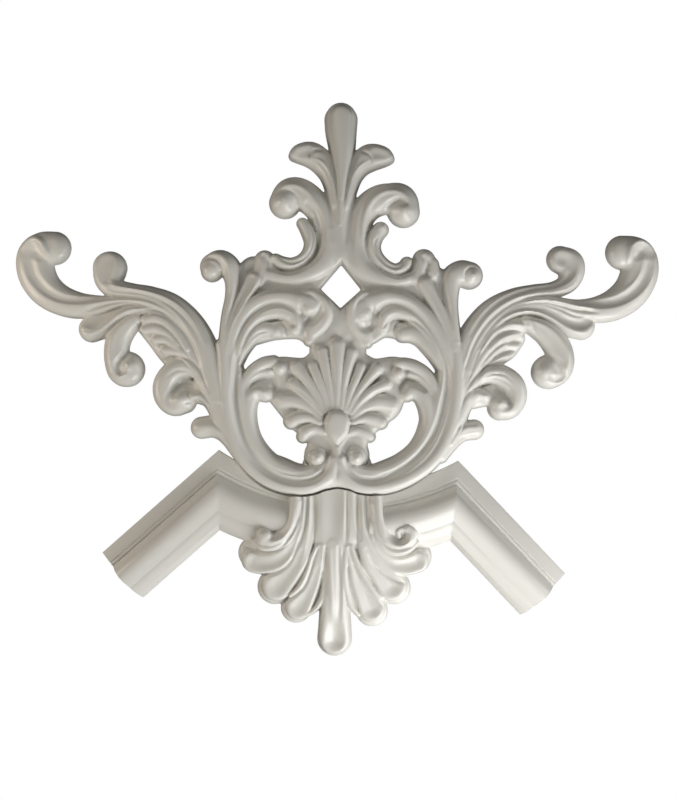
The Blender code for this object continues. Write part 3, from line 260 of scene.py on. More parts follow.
LEFT_WING = {
    "fan_bed": ("body", [(152, 326, 12, 14.5), (166, 331, 13, 15.5), (181, 338, 15, 16), (197, 354, 15, 17),
        (209, 384, 12, 18), (222, 415, 10, 18.5), (236, 442, 9, 19)]),
    "volute": ("body", [(52, 247, 16.5, 15), (41, 246, 15, 15), (33, 256, 18, 14), (34, 272, 18.5, 14),
        (42, 287, 17, 14), (56, 298, 15, 14), (75, 304.5, 13, 14), (97, 305, 9.5, 14), (120, 302, 5, 15),
        (145, 302, 4, 16.5), (170, 311, 4, 17.5), (192, 332, 4.5, 18), (208, 362, 5, 18.5),
        (220, 400, 5, 19)]),
    "spoon": ("body", [(108, 267.5, 17, 13), (107, 278, 14, 13.3), (112, 287, 9.5, 14), (130, 291.5, 8, 15),
        (150, 295.5, 8.5, 16), (172, 304.5, 9.5, 17), (192, 324, 10.5, 17.5), (207, 350, 9.5, 18),
        (219, 388, 7, 18.5)]),
    "blunt": ("body", [(90, 328.5, 13, 12), (103, 325, 11.5, 12.8), (118, 317, 8.5, 14),
        (135, 311, 6.5, 15), (155, 309.5, 5, 16.5), (178, 321, 5, 17.5), (198, 345, 5.5, 18),
        (212, 378, 5.5, 18)]),
    "hook": ("body", [(136, 319, 7, 15), (127, 325, 9.5, 15.5), (118, 336, 12, 15.5), (115, 348, 12, 15),
        (116, 360, 13, 15), (122, 368, 17, 14.5), (125.5, 369, 17.5, 14.5)]),
    "curl": ("body", [(213, 400, 5, 18), (207, 382, 7, 17.5), (198, 371, 8, 17), (185, 367, 9, 16.5),
        (172, 372, 10.5, 16), (164, 384, 11.5, 15.5), (165, 396, 12, 15), (173, 403, 12.5, 15),
        (183, 401, 12, 15)]),
    "curl_leaf": ("body", [(193, 397, 4.5, 14.5), (200, 395.5, 5, 15.5), (208, 401, 5, 16.5),
        (216, 413, 5.5, 17.5), (224, 430, 6, 18)]),
    "low_lobe": ("body", [(200.5, 428, 10.5, 13.5), (212, 427, 10, 15), (222, 432, 8, 16.5),
        (232, 442, 7, 18), (245, 457, 6, 19)]),
    "volute_flute": ("flute", [(29, 254, 7, 0.5), (31, 263, 7, 2.2), (35, 276, 6.5, 2.8), (45, 289, 6, 2.8),
        (60, 298, 5, 2.5), (78, 301, 4, 2), (98, 299.5, 3.5, 1.6), (120, 297.5, 3, 1.4),
        (143, 299.5, 2.5, 1.2), (160, 305, 2.5, 1.2), (174, 315, 2.5, 1), (187, 332, 2.5, 1),
        (197, 354, 2.5, 0.8), (206, 385, 2, 0.4)]),
    "volute_eye": ("dish", [(28, 253, 8.5, 1.4), (35, 251.5, 9, 2.8), (40, 257, 6.5, 1.6)]),
    "volute_lip": ("swell", [(22, 249, 4, 0.3), (28, 241, 5, 2), (36, 239, 5, 2.6), (43, 243.5, 5, 2.6),
        (47, 252, 4.5, 2.4), (49, 260, 4, 0.6)]),
    "spoon_dish": ("dish", [(106, 263, 11.5, 2.6), (105, 273, 9.5, 2.4), (106, 281, 6, 1.6),
        (112, 287, 3, 0.4)]),
    "top_edge": ("flute", [(113, 279, 3, 0.3), (124, 284, 3.2, 1.6), (140, 286.5, 3, 1.8),
        (155, 289.8, 3, 1.7), (170, 295.5, 3, 1.5), (184, 305, 3, 1.3), (197, 320, 3, 1),
        (207, 340, 3, 0.5)]),
    "ridge_a": ("arris", [(106, 284, 2.5, 0.5), (122, 287.5, 2.6, 1.2), (140, 290.5, 2.6, 1.4),
        (155, 294, 2.6, 1.4), (170, 300, 2.6, 1.3), (184, 309.5, 2.6, 1.2), (196, 324, 2.6, 1),
        (206, 345, 2.4, 0.8), (214, 372, 2, 0.4)]),
    "crease_b": ("crease", [(104, 288, 2, 0.3), (118, 291.5, 3, 1.3), (140, 294, 3, 1.5),
        (157, 299, 3, 1.4), (171, 306, 3, 1.3), (184, 317, 3, 1.2), (195, 332, 3, 1), (204, 352, 2.5, 0.8),
        (212, 380, 2, 0.3)]),
    "crease_c": ("crease", [(79, 316, 3, 0.5), (86, 311.5, 4, 2.6), (97, 307.5, 4, 2.6),
        (112, 303.8, 3.5, 2), (128, 302.5, 3, 1.6), (143, 304.5, 3, 1.4), (157, 309.5, 3, 1.3),
        (170, 319, 3, 1.2), (183, 335, 2.8, 1), (194, 356, 2.5, 0.8), (204, 386, 2, 0.3)]),
    "blunt_flute": ("flute", [(84, 322, 6, 1.5), (93, 322.5, 7, 3), (103, 319.5, 6, 2.6),
        (114, 312.5, 4.5, 2), (127, 307, 3.5, 1.6), (142, 307, 3, 1.3), (156, 312.5, 2.5, 1),
        (169, 323, 2.2, 0.6)]),
    "blunt_rim": ("swell", [(82, 333, 3.5, 0.4), (90, 334.5, 4, 1.2), (100, 331, 4, 1.5),
        (110, 323.5, 3.5, 1.5), (120, 315.5, 3.2, 1.4), (134, 309.5, 3, 1.2), (150, 310.5, 3, 1),
        (164, 318, 2.5, 0.6)]),
    "crease_d": ("crease", [(105, 338, 3, 0.8), (112, 330, 3.5, 2), (121, 321, 3.5, 2),
        (133, 314.5, 3.5, 1.8), (146, 311, 3.5, 2), (160, 311, 3.5, 2.2), (172, 318, 3.5, 2),
        (183, 331, 3, 1.6), (194, 350, 3, 1.2), (204, 380, 2.5, 0.5)]),
    "finger_1": ("band", [(146, 320, 4.6, 16.2), (156, 318.5, 4.6, 17.2), (167, 323, 4, 17.8),
        (178, 334, 3.4, 18), (188, 350, 2.4, 18)]),
    "finger_gap_1": ("crease", [(152, 324, 2, 0.4), (163, 326, 2.6, 1.2), (174, 337, 2.8, 1.3),
        (185, 353, 2.5, 0.8), (194, 372, 2, 0.3)]),
    "finger_2": ("band", [(145, 330, 4.4, 15.8), (156, 328.5, 4.4, 16.8), (167, 333.5, 3.8, 17.4),
        (177, 345, 3, 17.6)]),
    "finger_gap_2": ("crease", [(158, 334, 2, 0.4), (168, 337, 2.6, 1.2), (179, 349, 2.6, 1),
        (190, 366, 2, 0.4)]),
    "finger_3": ("band", [(156, 339.5, 4.4, 15.2), (167, 340, 4.2, 16.4), (178, 348, 3.4, 17),
        (188, 361, 2.6, 17.4)]),
    "finger_gap_3": ("crease", [(166, 345, 2, 0.4), (177, 351, 2.6, 1.2), (187, 364, 2.5, 0.8),
        (196, 380, 2, 0.3)]),
    "finger_4": ("band", [(165, 350, 4.4, 14.8), (176, 351.5, 4.2, 16.2), (187, 359.5, 3.4, 16.8),
        (196, 371, 2.6, 17.2)]),
    "curl_step": ("crease", [(164, 360, 3, 1.2), (173, 357, 4, 3), (184, 357.5, 4, 3),
        (194, 363.5, 3.5, 2.4), (203, 376, 3, 1.6), (210, 392, 2.5, 0.6)]),
    "hook_edge": ("swell", [(128, 321, 4, 0.3), (118, 331, 5, 0.9), (112, 343, 5.5, 1.1),
        (110, 356, 5.5, 1.1), (112, 368, 5, 0.8), (118, 375, 4, 0.3)]),
    "hook_spiral": ("flute", [(131, 350, 5, 0.6), (124, 357, 5, 2.4), (119, 364.5, 5, 3),
        (121, 371, 4.5, 2.2), (127, 371.5, 3.5, 1.2)]),
    "hook_lip": ("arris", [(109, 369, 2.5, 0.3), (114, 375, 3, 1.2), (122, 376.5, 3, 1.4),
        (128, 372, 3, 1.4), (129.5, 366, 3, 1), (126, 362, 2, 0.2)]),
    "hook_ball": ("swell", [(133, 365, 8, 1.4)]),
    "curl_line_1": ("crease", [(168, 377, 2.5, 0.5), (177, 371, 3, 1.2), (188, 371.5, 3, 1.3),
        (198, 379, 3, 1.2), (206, 392, 2.5, 0.5)]),
    "curl_eye": ("dish", [(174, 389, 6, 1.4), (182, 385, 8, 3.4), (190, 386.5, 7.5, 3.4),
        (196, 391, 5, 1)]),
    "curl_spiral": ("flute", [(172, 390, 4, 0.5), (168, 397, 4, 1.2), (170, 404, 4, 1),
        (177, 407, 3, 0.3)]),
    "curl_ball": ("swell", [(181, 399, 9.5, 2.4)]),
    "leaf_tip": ("swell", [(193, 396.5, 4, 1.4), (200, 397, 3.5, 1), (209, 405, 3, 0.6)]),
    "leaf_crease": ("crease", [(186, 403, 2.5, 0.6), (197, 400.5, 3, 1.4), (205, 405, 3, 1.4),
        (213, 417, 3, 1.3), (222, 433, 3, 1.2), (233, 449, 2.5, 0.8)]),
    "root_crease": ("crease", [(198, 386, 2, 0.3), (207, 398, 2.8, 1.1), (216, 416, 2.8, 1.2),
        (226, 436, 2.8, 1.2), (240, 456, 2.5, 0.8)]),
    "low_lobe_dish": ("swell", [(201, 427, 6, 0.6), (211, 427, 5, 1), (221, 433, 4, 0.8),
        (231, 444, 3, 0.3)]),
    "low_lobe_line": ("crease", [(193, 433, 2.5, 0.4), (200, 435, 2.8, 0.9), (212, 434.5, 2.8, 0.9),
        (222, 441, 2.6, 0.8), (232, 451, 2, 0.3)]),
}

RIGHT_WING = {
    "fan_bed": ("body", [(517, 326, 11, 15), (498, 336, 15, 16), (480, 354, 15, 17), (468, 380, 12, 18),
        (459, 410, 9, 18.5), (448, 440, 8, 19)]),
    "volute": ("body", [(625, 251.5, 17, 15), (635, 251, 15.5, 15), (641, 260, 18.5, 14),
        (641, 275, 18.5, 14), (633, 291, 17.5, 14), (618, 303, 15.5, 14), (600, 309, 13, 14),
        (580, 309, 9.5, 14), (560, 304, 6, 15), (543, 301, 5, 16), (520, 303, 4.5, 16.8),
        (498, 314, 4.5, 17.5), (479, 334, 5, 18), (466, 360, 5.5, 18.5), (457, 395, 6, 19)]),
    "spoon": ("body", [(562, 258.5, 13.5, 13), (571, 263, 14.5, 13), (573, 273, 12.5, 13.3),
        (568, 283, 9, 13.8), (555, 289, 6.8, 14.5), (535, 291.5, 6.2, 15.3), (515, 296, 6.8, 16),
        (495, 306, 8, 17), (480, 320, 8.5, 17.5), (468, 338, 8, 18), (460, 362, 7, 18.5),
        (455, 392, 6, 18.5)]),
    "blunt": ("body", [(583, 325.5, 13.5, 12.5), (572, 324, 12, 13), (559, 317, 9.5, 14), (544, 311, 7, 15),
        (527, 308.5, 6, 16), (509, 314, 6, 17), (494, 326, 6, 17.5), (480, 346, 6.5, 18),
        (469, 370, 6.5, 18.5)]),
    "hook": ("body", [(525, 321, 6, 15.5), (536, 326, 9, 15.5), (548, 333, 12, 15.5), (558, 345, 13.5, 15),
        (562, 357, 13.5, 15), (559, 367, 15.5, 15), (552, 371, 17, 15), (549.5, 372, 16.5, 15)]),
    "curl": ("body", [(458, 412, 5, 18), (464, 394, 6, 17.5), (474, 381, 7, 17), (488, 374, 8.5, 16.5),
        (502, 375.5, 10, 16), (513, 384, 11.5, 15.5), (516, 396, 12, 15), (510, 406, 12.5, 15),
        (501, 408, 12, 15)]),
    "curl_leaf": ("body", [(485, 397, 6, 14.5), (476, 395.5, 7.5, 15.5), (468, 401, 7, 16.5),
        (462, 412, 6, 17.5), (456, 428, 5, 18)]),
    "low_lobe": ("body", [(475, 430, 9.5, 13.5), (463, 432, 9, 15), (453, 441, 7, 16.5),
        (441, 456, 6, 18)]),
    "volute_flute": ("flute", [(648, 256, 6, 0.5), (647, 266, 6.5, 2), (643, 279, 6.5, 2.8),
        (634, 291, 6, 2.8), (619, 300.5, 5.5, 2.8), (602, 304, 5, 2.6), (584, 303, 4, 2.2),
        (563, 299, 3.5, 1.8), (542, 298, 3, 1.5), (522, 301.5, 2.8, 1.3), (503, 310.5, 2.5, 1.2),
        (486, 326, 2.5, 1), (472, 348, 2.5, 0.8), (462, 378, 2, 0.4)]),
    "volute_eye": ("dish", [(650, 254, 8, 1.4), (642, 251.5, 9, 2.8), (636, 256.5, 6.5, 1.6)]),
    "volute_lip": ("swell", [(654, 249, 4, 0.3), (646, 242, 5, 1.8), (637, 241.5, 5, 2.6),
        (630, 247, 5, 2.6), (628, 256, 4.5, 2.4), (628, 265, 4, 1)]),
    "volute_streak": ("swell", [(642, 262, 3.5, 0.4), (640, 272, 3.5, 0.9), (633, 283, 3.5, 0.8),
        (622, 292, 3, 0.3)]),
    "spoon_dish": ("dish", [(561, 259, 9, 2.4), (568, 262, 9, 2.4), (571, 271, 6.5, 2.4),
        (565, 280.5, 4.5, 2), (552, 286.5, 3.8, 1.8), (533, 289.3, 3.4, 1.6), (513, 295, 3.2, 1.5),
        (496, 304, 3.2, 1.3), (481, 318, 3, 1), (469, 336, 2.6, 0.5)]),
    "ridge_a": ("arris", [(578, 281, 2.5, 0.3), (568, 288.5, 2.8, 1), (553, 293, 2.8, 1.3),
        (535, 294.8, 2.8, 1.4), (516, 299, 2.8, 1.4), (498, 308.5, 2.8, 1.3), (483, 322.5, 2.8, 1.2),
        (471, 341, 2.6, 1), (463, 364, 2.2, 0.5)]),
    "crease_b": ("crease", [(572, 294.5, 2.5, 0.5), (553, 296, 3, 1.6), (534, 297.5, 3, 1.6),
        (516, 302, 3, 1.5), (500, 311, 3, 1.4), (485, 325, 3, 1.3), (473, 344, 3, 1),
        (464, 368, 2.5, 0.5)]),
    "ridge_b": ("arris", [(590, 308.5, 2.2, 0.3), (573, 306, 2.6, 1.2), (558, 302.2, 2.6, 1.2),
        (542, 300.3, 2.6, 1), (525, 302.5, 2.4, 0.8)]),
    "crease_c": ("crease", [(597, 313, 3, 0.6), (588, 311.5, 4, 2.4), (575, 310, 3.8, 2.4),
        (560, 306, 3.4, 2), (545, 303, 3.2, 1.8), (529, 303.5, 3, 1.6), (513, 308, 3, 1.5),
        (498, 318.5, 3, 1.4), (484, 335, 3, 1.2), (472, 357, 2.6, 0.8), (463, 385, 2, 0.3)]),
    "blunt_flute": ("flute", [(589, 321, 5, 1.4), (580, 324.5, 6, 3), (568, 322, 5.5, 3),
        (554, 314.5, 4.5, 2.4), (540, 309.5, 3.6, 1.8), (524, 309, 3, 1.5), (509, 314, 3, 1.3),
        (494, 326.5, 2.8, 1.1), (480, 346, 2.5, 0.8), (469, 370, 2, 0.3)]),
    "blunt_rim": ("swell", [(593, 327, 3.5, 0.4), (585, 333, 4, 1.1), (573, 332, 4, 1.5),
        (560, 325, 3.6, 1.6), (546, 317, 3.2, 1.5), (531, 312.5, 3, 1.3), (515, 313.5, 3, 1.2),
        (499, 323, 2.8, 1), (485, 341, 2.6, 0.6)]),
    "crease_d": ("crease", [(572, 339, 3, 0.8), (560, 331, 3.5, 2), (546, 321.5, 3.8, 2.2),
        (532, 316.5, 4.2, 2.6), (518, 316.5, 4.2, 2.6), (504, 322, 4, 2.4), (491, 333.5, 3.6, 2),
        (479, 351, 3.2, 1.5), (469, 375, 2.6, 0.8), (461, 400, 2, 0.3)]),
    "finger_1": ("swell", [(527, 328, 3, 0.8), (515, 324.5, 3.6, 1.5), (503, 326, 3.8, 1.5),
        (491, 335, 3.4, 1.2), (479, 351, 3, 0.6)]),
    "finger_gap_1": ("crease", [(527, 333, 3, 1.2), (514, 330.5, 3, 1.9), (501, 333, 3, 1.8),
        (489, 343, 2.8, 1.4), (477, 360, 2.4, 0.8), (467, 382, 2, 0.3)]),
    "finger_2": ("swell", [(525, 337, 3, 0.8), (512, 336, 3.4, 1.4), (500, 340, 3.2, 1.2),
        (489, 350, 3, 0.6)]),
    "finger_gap_2": ("crease", [(522, 342, 3, 1.2), (510, 341, 3, 1.8), (498, 346, 2.8, 1.6),
        (487, 356, 2.6, 1.2), (476, 372, 2, 0.4)]),
    "finger_3": ("swell", [(518, 346, 3, 0.8), (507, 346, 3.2, 1.3), (496, 352, 3, 1.1),
        (486, 363, 2.6, 0.5)]),
    "finger_gap_3": ("crease", [(519, 351, 3, 1.2), (507, 350.8, 3, 1.8), (495, 357, 2.8, 1.4),
        (485, 367, 2.4, 0.8), (475, 382, 2, 0.3)]),
    "finger_4": ("swell", [(515, 356.5, 3.6, 1), (504, 357, 3.4, 1.3), (493, 363, 3, 1),
        (483, 374, 2.6, 0.4)]),
    "finger_end": ("dish", [(533, 336, 4, 0.8), (525, 346, 4, 1), (519, 357, 4, 1)]),
    "curl_step": ("crease", [(516, 364, 3, 1.2), (504, 363.5, 4, 3), (491, 365.5, 4, 3),
        (479, 372.5, 3.6, 2.4), (469, 384, 3, 1.6), (461, 402, 2.4, 0.5)]),
    "hook_plane": ("swell", [(534, 322, 4, 1.2), (545, 326.5, 5.5, 1.6), (557, 337, 6, 1.6),
        (566, 351, 6, 1.4), (568, 364, 5.5, 1.2), (562, 375, 5, 0.8)]),
    "hook_start": ("crease", [(530, 318, 2.5, 0.8), (532, 326, 3, 2), (536, 334, 3, 1.2),
        (540, 340, 2, 0.3)]),
    "hook_spiral": ("flute", [(551, 357, 5, 0.8), (556, 362, 5, 2.2), (558, 369, 5, 3), (561, 375, 5, 3.4),
        (556, 379, 4, 2), (550, 377.5, 3, 0.6)]),
    "hook_ball": ("swell", [(543, 371, 9, 1.4)]),
    "curl_line_1": ("crease", [(473, 389, 2.5, 0.5), (483, 381, 3, 1.3), (495, 378.5, 3, 1.4),
        (506, 383, 3, 1.2), (513, 392, 2.5, 0.4)]),
    "curl_line_2": ("crease", [(480, 380, 2, 0.3), (491, 374.5, 2.4, 1), (503, 375, 2.4, 0.9),
        (511, 381, 2, 0.3)]),
    "curl_eye": ("dish", [(484, 390, 6, 1.2), (492, 389, 7.5, 3), (500, 391.5, 8, 4), (506, 395, 7, 3.6),
        (508, 401, 5.5, 1.8)]),
    "curl_spiral": ("flute", [(509, 398, 4.5, 1.4), (509, 405, 4, 1.8), (504, 409, 3.2, 0.8)]),
    "curl_ball": ("swell", [(498, 402, 7.5, 2.2)]),
    "leaf_tip": ("swell", [(484, 395.5, 5, 1.2), (476, 394, 4, 0.6), (468, 400, 4, 0.4)]),
    "leaf_crease": ("crease", [(489, 404, 2.5, 0.6), (490, 396, 3.2, 2), (485, 389.5, 3.4, 2.4),
        (476, 388, 3.2, 2), (468, 392.5, 3, 1.6), (461, 404, 2.6, 1.2), (455, 420, 2.4, 0.8),
        (448, 437, 2, 0.3)]),
    "lobe_crease": ("crease", [(468, 415, 2.6, 0.8), (460, 424, 3, 1.6), (451, 438, 3, 1.6),
        (441, 453, 3, 1.3), (428, 469, 2.6, 0.5)]),
    "low_lobe_rise": ("swell", [(476, 427, 4.5, 0.8), (465, 428, 4.5, 1.3), (455, 437, 4, 0.8),
        (446, 449, 3, 0.3)]),
    "low_lobe_line": ("crease", [(480, 434, 2.6, 0.5), (471, 435.5, 2.8, 1.2), (461, 438.5, 2.6, 0.8),
        (453, 446, 2, 0.3)]),
}

RINGS = {
    "ring_left": ("body", [(296, 303, 12, 16.5), (280, 303, 12.5, 16.5), (263, 309, 13, 17),
        (249, 322, 13, 17), (238, 340, 11.5, 17.5), (231, 360, 9.5, 18), (233, 382, 13, 18),
        (236.5, 402, 17, 18), (238, 420, 17, 18), (242, 438, 16, 18), (251, 453, 15.4, 18.3),
        (263, 466, 14.8, 18.6), (279, 473, 15, 19), (296, 478.5, 13.5, 19.4), (313, 478, 12.5, 19.8),
        (327, 472, 10, 20), (333, 460, 6, 20)]),
    "ring_right": ("body", [(379, 303, 12, 16.5), (396, 304, 12.5, 16.5), (412, 310, 13, 17),
        (426, 322, 13, 17), (439, 339, 12, 17.5), (448, 360, 11, 18), (449, 382, 14, 18),
        (444, 402, 18, 18), (438.5, 421, 17.8, 18), (431.5, 440, 16.6, 18), (421, 456, 16, 18.3),
        (405, 468, 15.2, 18.6), (389, 475, 14.5, 19), (372, 479.5, 13, 19.4), (357, 478.5, 12.5, 19.8),
        (346, 471, 10, 20), (341, 460, 6, 20)]),
    "foot": ("body", [(320, 480, 10, 20), (337, 475.5, 12, 20), (354, 480, 10, 20)]),
    "outer_left": ("band", [(222, 345, 5.5, 19), (224.5, 365, 6, 19.8), (225.5, 390, 6.2, 20),
        (228, 415, 6.2, 20), (233.5, 438, 6.2, 20), (243, 457, 6.2, 20), (256, 471.5, 6.2, 20),
        (272, 481.5, 6.4, 20.4), (290, 486.5, 6.8, 20.8), (307, 486.5, 7, 21.2), (321, 482, 7, 21.2),
        (331, 474, 6.5, 21), (336, 463, 4, 20.5)]),
    "outer_right": ("band", [(455, 345, 6, 19), (457, 365, 6.2, 19.8), (457, 388, 6.5, 20),
        (454.5, 411, 7, 20), (449.5, 431, 7, 20), (441, 449, 6.6, 20), (428, 464.5, 6.5, 20.2),
        (412, 476, 6.5, 20.4), (394, 484, 6.6, 20.8), (375, 487, 6.6, 21.2), (358, 484.5, 7, 21.2),
        (346, 477, 6.5, 21), (339.5, 465, 4, 20.5)]),
    "inner_left": ("band", [(265, 394, 7.2, 14), (257, 391.8, 8.5, 15), (249.5, 397, 8.5, 16),
        (246.5, 410, 8.2, 16.6), (247.5, 425, 8, 17), (252, 439, 7.4, 17.4), (260, 451.5, 7, 17.8),
        (271, 462, 6.4, 18), (285, 469, 6, 18), (299, 472.5, 5, 18), (312, 470.5, 4.5, 18)]),
    "inner_right": ("band", [(407, 395, 6, 14), (413, 391, 8, 15), (421.5, 394.5, 8.5, 16),
        (427, 405, 8.2, 16.6), (429.5, 419, 8, 17), (427, 433, 7.6, 17.4), (420, 446, 7.2, 17.8),
        (409, 457.5, 6.6, 18), (395.5, 466, 6.2, 18), (381, 471, 5.6, 18), (367, 472, 5, 18),
        (355, 468.5, 4.5, 18)]),
    "top_1_left": ("body", [(224, 366, 3, 17.5), (227.5, 349, 6, 19), (233.5, 331, 7, 19),
        (244.5, 313, 7.5, 18.5), (257.5, 302.5, 7.5, 18.5), (272, 297.8, 7.5, 18.5),
        (287, 297.5, 7.5, 18.5), (299, 300.5, 9, 18.5)]),
    "top_1_right": ("body", [(375, 300, 9, 18.5), (387, 297, 7.5, 18.5), (401, 299.5, 7.5, 18.5),
        (415, 307, 7.5, 18.5), (428, 319, 7.5, 18.5), (438.5, 334, 7.5, 18.8), (447, 351, 6.6, 19),
        (452, 369, 3.4, 17.5)]),
    "top_2_left": ("body", [(232, 366, 2.4, 16), (237.5, 350, 4.4, 17.8), (245, 333, 6, 17.5),
        (256, 320, 6.5, 17), (268, 313, 6.5, 17), (281, 311.5, 6.5, 17), (291, 316, 6.5, 16.5),
        (295, 323, 6, 16), (294, 330, 5, 15)]),
    "top_2_right": ("body", [(383, 327, 5, 15), (385, 317, 6, 16.5), (395, 312.5, 6, 17), (408, 315, 6, 17),
        (420, 324, 6, 17), (431, 338, 5.5, 17.5), (438, 355, 4, 17.5), (443, 370, 2.4, 15.5)]),
    "top_3_left": ("body", [(239, 363, 2, 14), (243.5, 351, 3.4, 16), (251, 338, 6, 16),
        (260, 330.5, 7, 15.5), (269, 329.5, 6.6, 15), (274, 332, 5.6, 14.5)]),
    "top_3_right": ("body", [(403, 333.5, 7.5, 15), (412, 333, 8.5, 15.5), (421, 338, 7.5, 16),
        (429.5, 349, 5.5, 16.5), (435, 358, 3.6, 16.5), (440, 368, 2, 15.5)]),
    "nose_left": ("body", [(299, 301, 10, 17.5), (309, 301, 11, 17.5), (317, 306, 11.5, 17),
        (319, 316, 11, 16), (316, 325, 10, 14.5), (311, 332, 8, 13), (309, 340, 5, 12)]),
    "nose_right": ("body", [(375, 301, 10, 17.5), (366, 303, 11, 17.5), (359, 308, 11, 17),
        (357, 318, 10.5, 16), (360, 328, 9.5, 14.5), (365, 336, 7.5, 13), (367, 342, 5, 12)]),
    "nose_lip_left": ("band", [(303, 292.5, 2, 14), (313, 293.5, 3, 17.2), (322.5, 301, 4, 18),
        (327, 310, 4.4, 17), (326, 319, 4.6, 16), (321, 327, 5, 14.5), (314, 333, 5, 13)]),
    "nose_lip_right": ("band", [(373, 293, 2, 14), (363, 295, 3, 17.2), (355, 302.5, 3.8, 18),
        (351.5, 311, 4.2, 17), (352.5, 321, 4.6, 16), (358, 329.5, 5, 14.5), (365, 336.5, 5, 13)]),
    "slot_1_left": ("band", [(239.5, 396, 3.6, 16), (244, 382.5, 4.6, 15.5), (252, 371.5, 5.2, 15),
        (263, 364, 5.4, 15), (273, 361.5, 5, 14.5)]),
    "slot_2_left": ("band", [(245, 392, 3, 14.5), (250, 381, 3.6, 14), (259, 373.5, 4, 13.5),
        (269, 371.5, 4, 13)]),
    "slot_1_right": ("band", [(439.5, 402, 3.6, 16), (435, 388, 4.8, 15.5), (427, 375.5, 5.6, 15),
        (416, 367.5, 5.6, 15), (405, 364, 5, 14.5), (398, 364, 4, 14)]),
    "slot_2_right": ("band", [(434, 400, 3, 14.5), (429, 388, 3.6, 14), (420, 378.5, 4, 13.5),
        (410, 374.5, 4, 13)]),
    "slot_ball_left": ("bulb", [(279.5, 368, 6.4, 16)]),
    "slot_ball_right": ("bulb", [(398, 373.5, 6.6, 16)]),
    "groove_left": ("flute", [(238, 346, 2, 0.1), (236.5, 362, 3.6, 1.8), (236, 382, 4.6, 3.4),
        (236.2, 402, 4.8, 3.6), (239, 422, 4.8, 3.6), (244.5, 441, 4.6, 3.6), (253.5, 456.5, 4.6, 3.6),
        (266, 469, 4.6, 3.6), (281, 477.5, 4.4, 3.6), (297, 481, 4.4, 3.6), (312, 479.5, 4, 3.4),
        (322, 472.5, 3.6, 2.6), (327.5, 463, 3, 1.4), (328, 455, 2, 0.3)]),
    "groove_right": ("flute", [(442, 350, 2, 0.1), (446, 367, 3.4, 1.6), (446, 386, 4.2, 3.2),
        (443, 403, 4.6, 3.6), (438.5, 421, 4.6, 3.6), (431.5, 438, 4.6, 3.6), (421, 453, 4.6, 3.6),
        (407, 465.5, 4.6, 3.6), (391, 474.5, 4.4, 3.6), (374, 480, 4.4, 3.6), (359, 478, 4, 3.4),
        (350, 471, 3.6, 2.6), (345.5, 462, 3, 1.4), (345.5, 455, 2, 0.3)]),
    "inner_line_left": ("crease", [(246, 432, 2, 0.3), (252, 447, 2.8, 1.2), (262, 460, 2.8, 1.4),
        (276, 469.5, 2.8, 1.4), (292, 474, 2.6, 1.2), (305, 474, 2, 0.4)]),
    "inner_line_right": ("crease", [(434, 426, 2, 0.3), (428, 441, 2.8, 1.2), (417, 455, 2.8, 1.4),
        (403, 466, 2.8, 1.4), (387, 472.5, 2.6, 1.2), (372, 475, 2, 0.4)]),
    "crease_1_left": ("flute", [(302, 321, 2.4, 0.2), (299.5, 313, 3.2, 1.2), (292, 307.8, 3.8, 2.2),
        (280, 304.8, 4, 2.4), (267, 307, 4, 2.4), (255, 314, 3.8, 2.2), (245.5, 325, 3.4, 2),
        (239, 339, 3, 1.4), (236, 352, 3, 0.9), (236, 367, 3, 0.2)]),
    "crease_1_right": ("flute", [(377, 319, 2.6, 0.2), (379.5, 311, 3.4, 1.4), (386, 306, 3.8, 2.4),
        (396, 304.5, 4, 2.6), (407, 307.5, 4, 2.5), (418.5, 316, 3.8, 2.3), (429, 328.5, 3.4, 2),
        (437, 343, 3, 1.4), (442, 358, 2.8, 0.9), (446, 373, 2.6, 0.2)]),
    "crease_2_left": ("crease", [(286, 336, 3, 1.6), (284, 326, 3.6, 2.6), (278, 320.6, 3.6, 2.6),
        (268.5, 320, 3.6, 2.6), (258, 324.5, 3.4, 2.2), (249, 334, 3, 1.6), (243, 347, 2.4, 0.6)]),
    "crease_2_right": ("crease", [(393, 335, 3, 1.8), (396, 325.5, 3.8, 2.8), (404, 320.5, 3.8, 3),
        (413, 321.5, 3.6, 2.6), (422, 328, 3, 1.8), (430, 338, 2.6, 1), (437, 352, 2, 0.3)]),
    "crease_3_right": ("crease", [(383, 328, 2.4, 1), (388, 321, 2.8, 1.6), (394, 316.8, 2.8, 1.4),
        (402, 316.5, 2.4, 0.5)]),
    "line_1_left": ("arris", [(262, 314, 1.8, 0.3), (273, 309.5, 2.2, 0.8), (285, 309.6, 2.2, 1),
        (294.5, 315, 2.2, 1), (299, 324, 2.2, 1), (297.5, 331.5, 2, 0.6)]),
    "hook_left": ("dish", [(290, 320, 4, 1), (293.5, 325, 4, 1.8)]),
    "band_3_line": ("crease", [(249, 344, 2, 0.3), (257, 335, 2.6, 1.2), (265, 332, 3, 1.6),
        (272, 335, 3, 1.4)]),
    "shade_left": ("dish", [(306, 322, 5, 1.4), (312, 320.5, 6.5, 3.4), (318, 314, 6, 3.4),
        (321, 306, 4, 1)]),
    "shade_right": ("dish", [(373, 318, 4, 1), (371, 326, 5.5, 2.8), (364, 328, 6, 3.2),
        (358, 323, 4.5, 1.4)]),
    "nose_ball_left": ("body", [(308, 303, 7.5, 18.2), (308.5, 307.5, 8, 18.5)]),
    "nose_ball_right": ("body", [(362.5, 306, 6.5, 18), (364.5, 312.5, 7.8, 18.5)]),
    "nose_line_left": ("crease", [(300, 301, 2.4, 0.4), (300, 309, 2.6, 0.8), (304, 316, 2.4, 0.5)]),
    "nose_line_right": ("crease", [(371.5, 302, 2.4, 0.4), (373, 310, 2.6, 0.8), (371, 318, 2.4, 0.5)]),
    "nose_arc_left": ("crease", [(304, 295, 2.4, 0.3), (311, 296, 2.8, 0.7), (316.5, 301, 2.8, 0.7),
        (318, 308, 2.4, 0.3)]),
